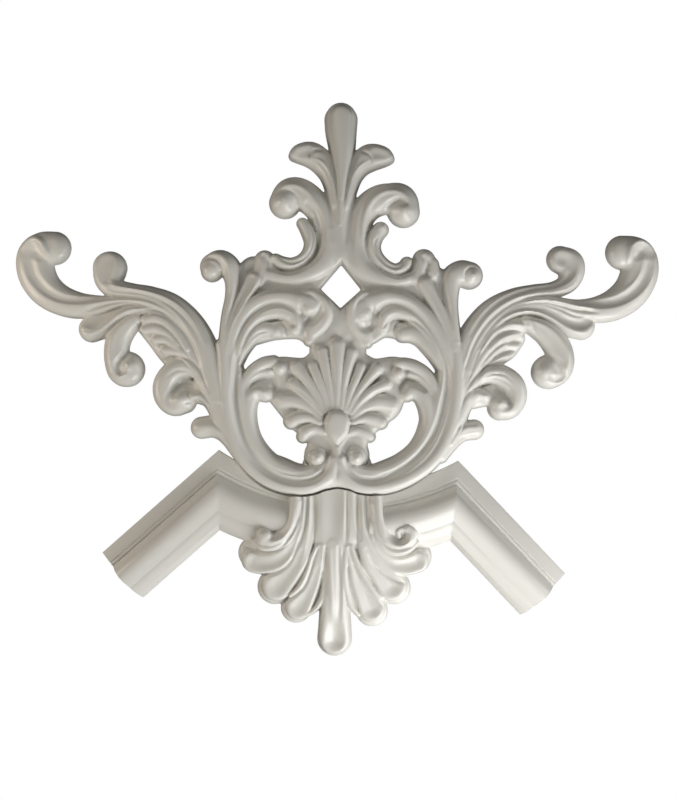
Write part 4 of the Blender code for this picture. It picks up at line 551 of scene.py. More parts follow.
    "nose_arc_right": ("crease", [(362, 298, 2.4, 0.3), (357.5, 303.5, 2.8, 0.7), (356, 311, 2.8, 0.7),
        (358, 318, 2.4, 0.3)]),
    "slot_hollow_left": ("dish", [(252, 384, 4, 1.5), (261, 379.5, 6, 3.2), (271, 380, 6, 3.4),
        (274, 387, 5, 3)]),
    "slot_hollow_right": ("dish", [(424, 390, 4, 1.5), (416, 382.5, 6, 3.2), (407, 380.5, 6, 3.4),
        (402, 386, 5, 3)]),
    "lobe_line_left": ("swell", [(264, 392.5, 5, 1.2), (256, 391, 5, 1), (249, 397, 4, 0.4)]),
    "foot_line": ("crease", [(337, 462, 2, 0.6), (337, 471, 2.2, 1), (337, 480, 2, 0.3)]),
}

HEARTS = {
    "heart_left": ("body", [(212, 265.5, 12.5, 16), (220, 262, 12.5, 16.5), (229, 267.5, 10, 17),
        (232.5, 280, 7, 17), (232, 296, 6, 17.3), (228, 316, 5.5, 18.5), (225, 340, 5, 19)]),
    "heart_right": ("body", [(470, 274.5, 13.5, 16), (462, 272.5, 12.5, 16.5), (453, 277, 10, 17),
        (450, 290, 8.5, 17), (450.5, 306, 6.6, 17.5), (452.5, 322, 5.5, 18.5), (455, 342, 5, 19)]),
    "upright_left": ("body", [(254, 280, 8, 17.4), (250, 288, 7.5, 17.4), (243, 300, 7, 17.6),
        (236, 314, 6, 18), (229, 333, 5, 19)]),
    "upright_right": ("body", [(424.5, 284, 8, 18), (431, 296, 7, 18), (439, 311, 6, 18.4),
        (446.5, 328, 5, 18.8), (454, 349, 5, 19)]),
    "knob_left": ("body", [(264, 259.5, 9.5, 14.5), (263.5, 271, 7.5, 14.8), (259, 283, 5, 15.5)]),
    "knob_right": ("body", [(424.5, 259.5, 11, 14.5), (420, 268, 8, 14.8), (415.5, 279, 6, 15)]),
    "knob_flank_right": ("body", [(431, 264, 8, 13.5), (434, 274, 7, 13.5)]),
    "ball_left": ("bulb", [(211, 269.8, 10.2, 17.5)]),
    "rim_left": ("swell", [(206, 257, 3.4, 0.4), (214, 254.5, 4.4, 1.6), (223, 257, 5, 2), (229, 265, 5, 2),
        (231, 277, 4, 1.4), (231.5, 291, 3, 0.5)]),
    "ball_line_left": ("crease", [(201.5, 263, 2, 0.3), (207, 259.5, 2.6, 1.6), (214, 259.2, 2.8, 2),
        (220, 263.5, 2.8, 2), (222.3, 271, 2.6, 1.6), (220, 278.5, 2, 0.4)]),
    "flank_left": ("flute", [(238, 262, 4, 0.5), (240, 272, 4.6, 2.4), (239, 283, 3.6, 2.4),
        (236, 297, 2.8, 1.8), (231, 314, 2.4, 1.2), (227, 335, 2, 0.4)]),
    "rib_left": ("arris", [(258, 272, 2.2, 0.4), (258.5, 282, 2.6, 1.4), (250.5, 295, 2.6, 1.6),
        (241, 310, 2.6, 1.5), (233, 326, 2.4, 1), (228, 345, 2, 0.3)]),
    "upright_dish": ("dish", [(252, 279, 5, 1.8), (248.5, 288, 5, 1.8), (242.5, 300, 4, 1.4),
        (236, 314, 3.2, 0.8)]),
    "knob_eye_left": ("dish", [(264, 257, 4.5, 2.4), (267, 263, 4, 2.2), (268, 270, 3, 1)]),
    "knob_eye_right": ("dish", [(424, 258, 4, 1.4), (427.5, 263, 4.4, 2.6), (427, 269.5, 4, 2.4)]),
    "ball_right": ("swell", [(472.5, 276.5, 6, 1.6)]),
    "ball_line_right": ("crease", [(465, 281, 2, 0.6), (464.5, 274, 2.6, 1.4), (468.5, 268.8, 2.6, 1.6),
        (475, 268.5, 2.4, 1.2), (480, 273, 2, 0.3)]),
    "flank_right": ("flute", [(444, 270, 4, 0.6), (441, 281, 4, 2.4), (443.5, 294, 3.2, 2.2),
        (448, 310, 2.6, 1.6), (452, 328, 2.2, 0.3)]),
    "upright_flute": ("dish", [(430, 290, 3, 0.4), (435.5, 302, 3, 1), (442, 317, 2.6, 0.8),
        (448, 332, 2, 0.3)]),
}

TOP = {
    "trunk": ("body", [(340, 176, 12, 15.5), (340, 196, 16, 16), (340, 218, 19, 16), (340, 238, 20, 16),
        (340, 252, 21, 16)]),
    "trunk_left": ("body", [(331, 246, 13, 16), (326, 260, 12.5, 16), (315, 270, 10, 16),
        (300, 276.5, 8, 15.5), (283, 277.5, 7, 15), (268, 275, 6.5, 15)]),
    "trunk_right": ("body", [(350, 246, 14, 16), (356, 260, 13, 16), (366, 271, 10, 16),
        (381, 278.5, 8, 15.5), (398, 280.5, 7, 15), (411, 278, 6.5, 15)]),
    "scroll_left": ("body", [(284.5, 201.5, 15.5, 17.5), (290, 193.5, 16.5, 17.5), (299, 192, 15.5, 17.2),
        (309.5, 198, 14.5, 17), (319, 208.5, 13.5, 16.5), (327, 224, 13, 16), (330, 242, 13, 16)]),
    "scroll_right": ("body", [(404, 210, 16, 17.5), (400, 200, 17.5, 17.5), (390, 197.5, 15.5, 17.2),
        (379, 199, 15, 17), (368.5, 205.5, 14, 16.5), (360, 217, 13.5, 16.5), (355, 234, 13.5, 16),
        (354, 250, 13, 15.8), (359, 264, 11, 15.6)]),
    "leaf_left": ("body", [(294, 154, 4.5, 12.5), (300, 152, 9, 14), (311, 153, 12.5, 15),
        (321, 160, 12, 15.5), (329, 172, 9.5, 16), (334, 187, 8, 16.5), (337, 205, 7, 17)]),
    "leaf_right": ("body", [(389, 157, 4.5, 12.5), (382, 155, 10, 14), (370, 156, 13.5, 15),
        (360, 163, 11.5, 15.5), (353, 174, 9, 16), (348, 188, 8, 16.5), (344, 206, 7, 17)]),
    "c_left": ("body", [(302, 222, 4.4, 13), (307, 229, 6, 14), (311, 241, 5.8, 15), (309, 252, 6, 15.3),
        (302, 260.5, 6.3, 15.3), (291.5, 264.5, 6.5, 15.3), (281, 262.5, 6, 15), (275, 259, 5, 14.5)]),
    "c_right": ("body", [(381, 228.5, 6.8, 14.5), (375.5, 235, 7, 15), (372.5, 246, 7, 15.3),
        (376, 257, 7, 15.3), (385, 266, 6.5, 15.3), (395.5, 270.5, 6.4, 15.3), (404.5, 267, 6, 15),
        (407.5, 262.5, 5.4, 14.5)]),
    "club": ("body", [(341, 117.9, 15.6, 20.6), (341, 130, 14.4, 20.4), (342, 145, 12, 20),
        (342, 160, 9.2, 19.4), (341.5, 176, 6.8, 18.8), (341, 192, 4.6, 18.4), (340.5, 208, 3, 18),
        (340, 226, 1.4, 17)]),
    "club_face": ("slab", [(341, 118.5, 10.4, 22.2), (341, 132, 9.4, 21.6), (342, 147, 7.4, 20.8),
        (342, 162, 5.4, 20), (341.5, 180, 3.4, 19.2), (341, 200, 1.6, 18.4)]),
    "scroll_ball_left": ("swell", [(284, 202, 9.5, 1.8)]),
    "scroll_line_left": ("crease", [(276, 196.5, 2, 0.3), (281, 193, 3, 1.6), (288, 191.8, 3.2, 2.2),
        (294, 195, 3.2, 2.2), (297, 201.5, 3, 1.6), (296, 208, 2.4, 0.5)]),
    "scroll_band_left": ("swell", [(279, 190, 3, 0.3), (287, 186.5, 4, 1.2), (298, 187.5, 4.4, 1.6),
        (308, 194, 4.4, 1.4), (316, 205, 4, 1), (321, 220, 3.4, 0.4)]),
    "scroll_back_left": ("flute", [(300, 178, 4, 0.3), (312, 184.5, 5, 1.4), (323, 195, 5, 1.8),
        (329, 210, 4.5, 1.4), (332, 226, 4, 0.5)]),
    "scroll_eye_right": ("dish", [(385, 209, 4.5, 1.4), (391, 205, 6, 3), (399, 202.5, 6, 3.4),
        (405, 204.5, 4, 1.4)]),
    "scroll_ball_right": ("swell", [(403, 212, 8.5, 1.8)]),
    "scroll_band_right": ("swell", [(408, 199, 3, 0.3), (399, 193.5, 4, 1.3), (387, 192.5, 4.4, 1.8),
        (376, 198, 4.4, 1.8), (368, 208, 4.4, 1.8), (364, 222, 4.2, 1.7), (363, 239, 4, 1.6),
        (366.5, 254, 3.6, 1.4), (375.5, 266.5, 3.4, 1.2), (388, 275.5, 3.4, 1), (402, 278, 3, 0.5)]),
    "scroll_back_right": ("flute", [(380, 185, 4, 0.3), (367, 191, 5, 1.4), (357, 201, 5.5, 1.8),
        (351, 216, 6.5, 2.2), (348.5, 236, 6.5, 2.2), (350, 254, 5.5, 1), (355, 266, 4, 0.2)]),
    "c_groove_left": ("flute", [(308, 205, 4, 1.4), (316, 213, 4.6, 3), (320.5, 227, 4.2, 3.4),
        (319.5, 242, 4, 3.2), (314, 256, 4, 3), (304, 266.5, 4, 3), (292, 271.5, 4, 3.2),
        (280.5, 270.5, 4, 3.2), (274, 264, 3.4, 2), (272, 258, 2.4, 0.5)]),
    "c_line_left": ("crease", [(304, 219, 2.4, 0.6), (310, 228, 3, 1.6), (313, 240, 3, 1.8),
        (310.5, 251.5, 3, 1.8), (303, 260, 3, 1.8), (292.5, 263.5, 3, 1.8), (283, 261, 2.6, 1.2),
        (278.5, 257, 2, 0.3)]),
    "c_eye_left": ("dish", [(306, 214, 5, 2.4), (311, 219, 5, 2.6)]),
    "c_groove_right": ("flute", [(373, 222, 3.4, 1), (368.5, 232, 3, 1.6), (367.2, 245, 3, 2),
        (371, 257.5, 3, 2.4), (380, 268.5, 3.2, 2.8), (391, 275, 3.4, 3), (402.5, 275.5, 3.8, 3.4),
        (411.5, 269.5, 4, 3.4), (414, 260, 3.4, 2)]),
    "c_line_right": ("crease", [(379, 236, 2, 0.4), (374.5, 244, 2.8, 1.6), (377.5, 255.5, 2.8, 1.8),
        (386, 265, 2.8, 1.9), (395.5, 268.8, 2.8, 1.8), (402, 265.5, 2.6, 1.4), (404, 260.5, 2, 0.5)]),
    "c_eye_right": ("dish", [(374, 221, 4, 1.6), (372, 227, 4, 1.8)]),
    "c_tip_right": ("swell", [(381, 228, 5, 1)]),
    "leaf_dish_left": ("dish", [(300, 154.5, 6.5, 1.6), (308, 153, 7, 2)]),
    "leaf_fold_left": ("crease", [(309, 161, 2.2, 0.6), (310.5, 155.5, 2.8, 1.8), (315, 151.5, 2.8, 1.8),
        (322, 151.5, 2.6, 1), (328, 154, 2, 0.3)]),
    "leaf_rib_left": ("arris", [(314, 159.5, 2, 0.4), (322, 163.5, 2.6, 1.3), (329, 172.5, 2.6, 1.4),
        (333, 185, 2.6, 1), (335.5, 200, 2, 0.3)]),
    "leaf_flute_left": ("flute", [(327, 150, 4, 0.5), (330.5, 162, 4, 2.2), (334.5, 177, 3.4, 2.2),
        (337, 193, 2.6, 1.4), (338, 208, 2, 0.3)]),
    "leaf_dish_right": ("dish", [(384, 156, 5.5, 1.2), (376, 155, 7.5, 1.8)]),
    "leaf_fold_right": ("crease", [(358, 152, 2, 0.3), (364, 153, 2.8, 1.4), (369.5, 156.5, 2.8, 1.8),
        (371.5, 161.5, 2.6, 1), (370, 165, 2, 0.3)]),
    "leaf_rib_right": ("arris", [(369, 161.5, 2, 0.4), (361, 166.5, 2.6, 1.3), (354, 175.5, 2.6, 1.4),
        (350, 188, 2.6, 1), (347, 202, 2, 0.3)]),
    "leaf_flute_right": ("flute", [(357, 151, 4, 0.5), (353.5, 163, 4, 2.2), (349, 178, 3.4, 2.2),
        (345.5, 194, 2.6, 1.4), (343, 209, 2, 0.3)]),
}

SMALL_PALMETTE = {
    "petal_middle": ("band", [(337, 408, 3.2, 16), (337, 385, 4.9, 17), (337, 364, 7.2, 16.6),
        (337, 346, 9, 15.1)]),
    "petal_1_left": ("band", [(332.5, 408, 2.6, 16), (329, 386, 3.8, 16.5), (325, 367, 5.2, 16.1),
        (321.5, 351.5, 6.1, 14.4)]),
    "petal_1_right": ("band", [(341.5, 408, 2.6, 16), (344.5, 386, 3.6, 16.5), (348, 368, 4.9, 16.1),
        (351.5, 353, 5.9, 14.4)]),
    "petal_2_left": ("band", [(329, 410, 2.6, 16), (323.5, 392, 3.8, 16.5), (317.5, 378, 4.7, 16.1),
        (312.5, 366, 5.4, 14.4)]),
    "petal_2_right": ("band", [(345, 410, 2.6, 16), (350.5, 392, 3.6, 16.5), (356, 379, 4.5, 16.1),
        (361, 367, 5, 14.4)]),
    "petal_3_left": ("band", [(325, 411, 2.8, 16), (316, 394, 4.2, 16.5), (306, 379, 5.4, 16.1),
        (296, 367, 7.1, 15.2)]),
    "petal_3_right": ("band", [(348, 411, 2.8, 16), (357, 395, 4, 16.5), (367, 381, 4.9, 16.1),
        (377, 369, 6.4, 15.2)]),
    "petal_4_left": ("band", [(322, 413, 2.8, 16), (312, 401, 4.2, 16.5), (302, 391, 5.2, 16.1),
        (293.5, 384, 5.9, 15)]),
    "petal_4_right": ("band", [(351, 413, 2.8, 16), (362, 400, 4.2, 16.5), (374, 390, 4.9, 16.1),
        (386, 384.5, 5.7, 15)]),
    "petal_groove_middle": ("crease", [(333, 350, 2, 0.3), (334, 372, 2.2, 0.9), (336, 396, 1.6, 0.3)]),
    "petal_groove_1_left": ("crease", [(319.5, 354, 2, 0.4), (324.5, 373, 2.2, 1), (331, 396, 1.6, 0.3)]),
    "petal_groove_1_right": ("crease", [(355, 356, 2.2, 0.6), (349.5, 374, 2.4, 1.3),
        (343.5, 396, 1.6, 0.3)]),
    "petal_groove_3_left": ("crease", [(297, 373, 2.2, 0.5), (308, 386, 2.4, 1.1), (321, 403, 1.8, 0.3)]),
    "petal_groove_3_right": ("crease", [(378, 374, 2.4, 0.7), (366, 387, 2.4, 1.2), (352, 404, 1.8, 0.3)]),
    "petal_groove_4_left": ("crease", [(294, 388, 2, 0.4), (305, 395, 2.2, 0.9), (318, 408, 1.8, 0.3)]),
    "petal_groove_4_right": ("crease", [(386, 389, 2, 0.4), (372, 395, 2.2, 0.9), (357, 408, 1.8, 0.3)]),
    "petal_5_left": ("body", [(320, 417, 3.4, 15.5), (309, 408, 6, 15.5), (296, 401, 8, 15),
        (283, 400, 8.2, 13.5)]),
    "petal_5_right": ("body", [(353, 417, 3.4, 15.5), (364, 408, 6, 15.5), (378, 403, 9, 15),
        (391, 405, 10.2, 13.5)]),
    "petal_6_left": ("band", [(320, 422, 3.2, 15.5), (309, 417.5, 4.9, 16), (298, 418, 6.3, 16.1),
        (291, 421.5, 6.8, 15.1)]),
    "petal_6_right": ("band", [(353, 422, 3.2, 15.5), (364, 418, 4.9, 16), (374, 419, 6, 16.1),
        (381, 422.5, 5.9, 15.1)]),
    "petal_7_left": ("band", [(325, 432, 3.4, 15), (315, 428.5, 4.9, 16), (306, 432, 5.6, 16.1),
        (302.5, 437, 5, 14.6)]),
    "petal_7_right": ("band", [(349, 432, 3.4, 15), (358, 430, 4.7, 16), (366, 433.5, 5.2, 16.1),
        (370, 437, 4.2, 14.6)]),
    "petal_5_line_left": ("crease", [(291, 407.5, 2.6, 1), (302, 408.5, 2.8, 1.4), (313, 414, 2.4, 0.6)]),
    "petal_5_line_right": ("crease", [(394, 411, 3, 1), (380, 410.5, 3, 1.6), (368, 412, 2.6, 1),
        (358, 418, 2, 0.3)]),
    "ring_ball_left": ("bulb", [(317, 456, 10, 20)]),
    "ring_ball_right": ("bulb", [(356, 456.5, 10, 20)]),
    "snail_left": ("crease", [(326.5, 461, 2.4, 0.6), (325.5, 454, 2.8, 2.4), (319.5, 449.5, 3, 3),
        (313, 450.5, 3, 3), (309.5, 456, 2.8, 2.4), (310.5, 463, 2.4, 0.6)]),
    "snail_right": ("crease", [(347, 461, 2.4, 0.6), (348, 454, 2.8, 2.4), (353.5, 449.5, 3, 3),
        (360, 450.5, 3, 3), (363.5, 456, 2.8, 2.4), (362.5, 463, 2.4, 0.6)]),
    "snail_swell_left": ("swell", [(317.5, 458.5, 5, 1.2)]),
    "snail_swell_right": ("swell", [(356.5, 458.5, 5, 1.2)]),
    "rim": ("band", [(337, 424, 16.4, 18), (337, 431.5, 13.4, 18), (337, 439.5, 8.2, 17.5),
        (337, 447, 2.6, 17)]),
    "axis_rib": ("band", [(337, 447, 4, 17), (337, 458, 4.4, 18.6), (337, 468, 5, 19.4)]),
    "cabochon": ("slab", [(337, 423.2, 12.4, 21.4), (337, 429.5, 10, 21.2), (337, 435.5, 6, 20),
        (337, 440.5, 2.6, 18)]),
    "cabochon_line": ("crease", [(326, 415, 2, 0.3), (323.6, 424, 2.4, 1), (326.4, 432.5, 2.4, 1.2),
        (331.5, 439, 2.4, 1.2), (337, 445, 2.4, 1.2), (342.5, 439, 2.4, 1.2), (347.6, 432.5, 2.4, 1.2),
        (350.4, 424, 2.4, 1), (348, 415, 2, 0.3)]),
}

CORNER_BEDS = {
    "plate_2_left": ("web", [(290, 530, 12, 18), (272, 548, 17, 13), (254, 553, 15.6, 10)]),
    "plate_2_right": ("web", [(380, 530, 12, 18), (400, 550, 17, 13), (415, 557, 16.4, 10)]),
    "plate_3_left": ("web", [(302, 556, 13, 18), (287, 577, 16, 13), (275, 587, 17.4, 9.5)]),
    "plate_3_right": ("web", [(370, 560, 12, 18), (384, 577, 15.5, 13), (394, 588, 16.4, 9.5)]),
    "plate_4_left": ("web", [(313, 572, 10, 17), (304, 596, 14, 12.5), (296, 608, 15, 9)]),
    "plate_4_right": ("web", [(354, 572, 10, 17), (361, 595, 13.5, 12.5), (372, 611, 15.6, 9)]),
    "tongue_plate": ("web", [(335, 538, 16, 18.5), (335, 560, 16, 17), (335, 590, 13, 14),
        (335, 620, 15.6, 11), (334.5, 639, 17, 9)]),
    "panel": ("slab", [(337, 474, 36, 13), (337, 494, 38, 14.5), (336, 510, 36, 17.4), (336, 524, 31, 19.4),
        (335, 533, 24, 19.6)]),
}

CORNER_PALMETTE = {
    "tongue": ("slab", [(334, 543, 8, 20), (334, 566, 9, 19.5), (334, 592, 11, 18),
        (334.5, 616, 13.6, 15.5), (334.5, 632, 15, 14), (334.5, 638, 15, 13.5)]),
    "leaf_4_left": ("slab", [(321, 545, 4.5, 19.5), (317, 562, 6.5, 19), (311, 580, 9, 17.5),
        (303, 596, 12, 15.5), (298.5, 605.5, 13, 14)]),
    "leaf_4_right": ("slab", [(350, 545, 3.6, 19.5), (353, 560, 5.5, 19), (358, 577, 8, 17.5),
        (366, 594, 11, 15.5), (371.5, 607.5, 13, 14)]),
    "leaf_3_left": ("slab", [(312, 496, 4, 16.5), (310, 520, 5.5, 20), (305, 542, 7.5, 20.5),
        (297, 559, 10.5, 19.5), (285, 574, 14, 17), (277, 584.5, 15, 15)]),
    "leaf_3_right": ("slab", [(361, 496, 4, 16.5), (362, 520, 5.5, 20), (365, 542, 7.5, 20.5),
        (372, 558, 10.5, 19.5), (384, 573, 13.5, 17), (392, 585, 14.5, 15)]),
    "leaf_2_left": ("slab", [(304, 496, 3.6, 16.5), (302, 518, 4.4, 20), (297, 535, 6, 21),
        (288, 549, 8, 20), (275, 559, 10.5, 18), (262, 561, 11.5, 16), (254.5, 560, 11.5, 15)]),
    "leaf_2_right": ("slab", [(368.5, 496, 3.8, 16.5), (369, 518, 4.4, 20), (372, 535, 6, 21),
        (380, 549, 8, 20), (392, 560, 10, 18), (406, 562, 11.5, 16.5), (416, 560, 11.5, 15.5)]),
    "leaf_1_edge_left": ("band", [(299, 500, 2.6, 20.5), (298, 517, 2.8, 22), (293, 531, 3, 22.8),
        (285, 540.5, 3.2, 23), (274, 545.5, 3.4, 22.5), (264, 545.5, 3.2, 21.5), (258, 541.5, 2.8, 19.5)]),
    "leaf_1_edge_right": ("band", [(372.5, 503, 2.6, 20.5), (373.5, 520, 2.8, 22), (377, 535, 3, 22.8),
        (385, 545, 3.2, 23), (396, 549.5, 3.4, 22.5), (407, 547.5, 3.2, 21.5), (415, 541, 2.8, 19.5)]),
    "leaf_1_left": ("body", [(296, 492, 4.4, 20), (295, 510, 4.8, 23.5), (291.5, 524, 5.4, 25),
        (284, 534, 6.4, 25.2), (274, 538.5, 7, 24.8), (266, 536, 8.4, 24.2)]),
    "leaf_1_right": ("body", [(376, 492, 4.4, 20), (377, 510, 4.8, 23.5), (379.5, 524, 5.6, 25),
        (386.5, 535.5, 7, 25.2), (396, 540.5, 7.4, 24.8), (406, 538.5, 7, 24.4), (410.5, 532, 6, 24.2),
        (406.5, 526.5, 4.6, 24)]),
    "scroll_ball_left": ("bulb", [(265.5, 534, 8, 25.6)]),
    "scroll_hollow_left": ("dish", [(273, 535.5, 4, 1.6), (281, 532, 4.5, 2.4), (288, 524, 3.6, 1)]),
    "scroll_hollow_right": ("dish", [(386, 525, 4, 1), (390, 533, 5.5, 4.5), (396, 537, 6.5, 5.5),
        (402, 536, 6, 5), (405, 531, 4, 2)]),
    "scroll_curl_right": ("band", [(407, 528, 2.6, 23), (401, 526.5, 2.8, 22.5), (397, 530, 3, 22),
        (398.5, 534, 2.4, 21)]),
    "edge_line_left": ("crease", [(297, 508, 2, 0.3), (295.5, 522, 2.6, 1.2), (289, 534, 2.8, 1.6),
        (279, 541, 2.8, 1.8), (268, 543, 2.8, 1.6), (259, 539, 2.4, 0.8)]),
    "edge_line_right": ("crease", [(374.5, 512, 2, 0.3), (376, 526, 2.6, 1.2), (381.5, 539, 2.8, 1.6),
        (391, 546, 2.8, 1.8), (403, 546, 2.8, 1.6), (412, 540, 2.4, 0.6)]),
    "gap_12_left": ("crease", [(245, 546, 3, 0.8), (256, 549.5, 3.8, 2.6), (268, 550, 3.8, 3),
        (279, 546.5, 3.6, 2.8), (288, 538, 3.2, 2.2), (295.5, 525, 3, 1.8), (300.5, 509, 2.6, 1.4),
        (302, 495, 2.2, 0.8)]),
    "gap_12_right": ("crease", [(426, 547, 3, 0.8), (415, 549, 3.4, 1.8), (405, 553.5, 3.8, 3),
        (394, 554, 3.8, 3), (384.5, 548, 3.4, 2.4), (376, 539, 3, 2), (370.5, 524, 2.8, 1.8),
        (369, 508, 2.6, 1.4), (369, 495, 2.2, 0.8)]),
    "flute_2_left": ("dish", [(296, 540, 4, 0.6), (287, 552, 6.5, 1.6), (275, 560, 9, 2.2),
        (262, 562, 10.4, 2.6), (255, 560.5, 10.4, 2.4)]),
    "flute_2_right": ("dish", [(373, 540, 4, 0.6), (381, 552, 6.5, 1.6), (392, 561, 8.5, 2.2),
        (406, 563, 10.4, 2.6), (415, 560.5, 10.4, 2.4)]),
    "gap_23_left": ("crease", [(257, 575, 3, 0.6), (268, 573, 3.6, 2.6), (279, 569.5, 3.6, 2.8),
        (288, 563, 3, 2.2), (294.5, 553, 2.6, 1.2), (299, 542, 2, 0.4)]),
    "gap_23_right": ("crease", [(368, 553, 2.2, 0.5), (375, 564, 2.8, 1.8), (385, 572.5, 3.2, 2.4),
        (395, 578.5, 3.2, 2.4), (405, 582, 3, 0.8)]),
    "flute_3_left": ("dish", [(303, 548, 5, 0.6), (296, 562, 8.5, 1.6), (286, 575, 12, 2.4),
        (278, 584, 13.6, 2.8)]),
    "flute_3_right": ("dish", [(367, 548, 5, 0.6), (374, 561, 8.5, 1.6), (384, 574, 11.5, 2.4),
        (391, 584, 13.2, 2.8)]),
    "edge_3_left": ("band", [(291, 594, 2, 15.5), (301, 584.5, 2.4, 17.6), (308, 570, 2.4, 19),
        (312.5, 556, 2.4, 20), (317.5, 544, 2, 19.8)]),
    "edge_3_right": ("band", [(351.5, 545, 2, 19.8), (356.5, 560, 2.4, 19.6), (364, 575, 2.4, 18.2),
        (373, 588, 2.2, 16.2), (380, 596, 1.8, 14.5)]),
    "edge_4_left": ("band", [(306, 614, 2, 12.5), (314, 608.5, 2.4, 14), (320.5, 600, 2.4, 15.6),
        (324.5, 587, 2.4, 17.2), (325, 570, 2.4, 18.8), (323.5, 556, 2.6, 19.4), (323, 543, 2, 19.8)]),
    "edge_4_right": ("band", [(358, 613, 2, 12.5), (351.5, 604.5, 2.4, 14.4), (347, 592, 2.4, 16.4),
        (344.6, 576, 2.6, 18.2), (345, 560, 3, 19.2), (346.5, 544, 2.6, 19.8)]),
    "gap_34_left": ("crease", [(281, 605, 3, 0.6), (288, 598.5, 3.4, 2.4), (297, 592, 3.4, 2.6),
        (305, 583, 3.2, 2.4), (310.5, 570, 3, 2.2), (314.5, 556, 2.6, 1.8), (318, 546, 2.2, 0.6)]),
    "gap_34_right": ("crease", [(348.5, 546, 2, 0.5), (353, 561, 2.6, 1.8), (360, 577, 3, 2.4),
        (369, 591, 3.2, 2.6), (378, 601, 3.2, 2.2), (386, 608, 3, 0.6)]),
    "flute_4_left": ("dish", [(318, 566, 4.5, 0.6), (312, 582, 7.5, 1.6), (304.5, 596.5, 10.5, 2.2),
        (299, 605, 11.8, 2.6)]),
    "flute_4_right": ("dish", [(354, 563, 4, 0.6), (359, 579, 6.5, 1.6), (366, 594.5, 9.5, 2.2),
        (371, 606.5, 11.8, 2.6)]),
    "panel_flute_left": ("flute", [(315, 488, 4.6, 2), (315, 505, 4.8, 2.6), (314, 522, 4.4, 2.2),
        (311.5, 537, 3.6, 1.5), (308, 550, 3, 0.8), (303, 563, 2, 0.2)]),
    "panel_flute_right": ("flute", [(357, 488, 3.4, 1.8), (357.5, 505, 3.6, 2.4), (358, 522, 3.2, 1.8),
        (360, 537, 2.6, 0.6)]),
    "rib_flute_left": ("flute", [(307.5, 490, 2.4, 1.4), (307.5, 508, 2.6, 2), (305, 526, 2.6, 1.8),
        (299.5, 541, 2.4, 1), (292.5, 554, 2, 0.2)]),
    "rib_flute_right": ("flute", [(365, 490, 2.6, 2), (365.5, 508, 2.8, 2.6), (367, 526, 2.8, 2),
        (371, 541, 2.4, 1), (378, 553, 2, 0.2)]),
    "panel_line": ("flute", [(347, 490, 2.8, 1.4), (347, 507, 2.8, 1.8), (346.5, 526, 2.6, 1.4),
        (345.5, 542, 2.2, 0.6)]),
    "panel_hollow": ("dish", [(334, 488, 15, 2), (334, 505, 14, 2.4), (333, 522, 12, 1.6),
        (332, 538, 10, 0.5)]),
    "tongue_line_left": ("flute", [(326, 545, 2, 0.8), (325, 560, 2.6, 1.8), (324.5, 576, 2.8, 2),
        (325, 592, 2.4, 1)]),
    "tongue_line_right": ("flute", [(338.5, 545, 2.2, 0.8), (339, 561, 2.8, 1.8), (339.5, 581, 3.2, 2),
        (339.5, 601, 3.2, 1.4), (339, 620, 2.6, 0.2)]),
    "tongue_ridge": ("swell", [(330, 548, 3, 0.4), (331, 575, 3.4, 0.9), (332, 600, 4, 0.8),
        (332.5, 618, 4, 0.2)]),
    "tongue_end": ("dish", [(334.5, 604, 8, 0.2), (334.5, 620, 10.5, 1.2), (334.5, 634, 12.6, 3.4),
        (334.5, 639, 12.6, 3.9)]),
}


def smooth_path(rows):
    """A smooth curve through the rows, as (across, down, half width, height) in metres."""
    rows = np.array(rows, float).reshape(-1, 4) * MM
    if len(rows) == 1:
        return np.vstack([rows, rows])
    ends = np.vstack([2 * rows[0] - rows[1], rows, 2 * rows[-1] - rows[-2]])
    pieces = []
    for before, start, stop, after in zip(ends, ends[1:], ends[2:], ends[3:]):
        count = max(2, int(math.hypot(*(stop - start)[:2]) / PATH_STEP))
        t = np.linspace(0, 1, count, endpoint=False)[:, None]
        pieces.append(start + 0.5 * t * (stop - before + t * (2 * before - 5 * start + 4 * stop - after)
                                         + t * t * (3 * (start - stop) + after - before)))
    path = np.vstack(pieces + [rows[-1:]])
    path[:, 2] = np.maximum(path[:, 2], LEAST_HALF_WIDTH)
    return path


def drawn(rows, grows):
    """A stroke taken from the drawing to world X and Z, grown by what the camera's distance takes off."""
    path = smooth_path(rows)
    lay = math.radians(DRAWING_LAY_DEG)
    across = path[:, 0] - DRAWING_AXIS
    down = path[:, 1] - DRAWING_LEVEL
    out = path.copy()
    out[:, 0] = CAMERA_X + grows * (across * math.cos(lay) + down * math.sin(lay) - CAMERA_X)
    out[:, 1] = CAMERA_Z + grows * (across * math.sin(lay) - down * math.cos(lay) - CAMERA_Z)
    return out


def laid(path, side, frame):
    """A path of one half, side -1 for the left and 1 for the right, put into world X and Z."""
    shift, rise, lay = frame
    x = path[:, 0] * side
    z = path[:, 1]
    out = path.copy()
    out[:, 0] = shift + x * math.cos(lay) + z * math.sin(lay)
    out[:, 1] = rise - x * math.sin(lay) + z * math.cos(lay)
    return out


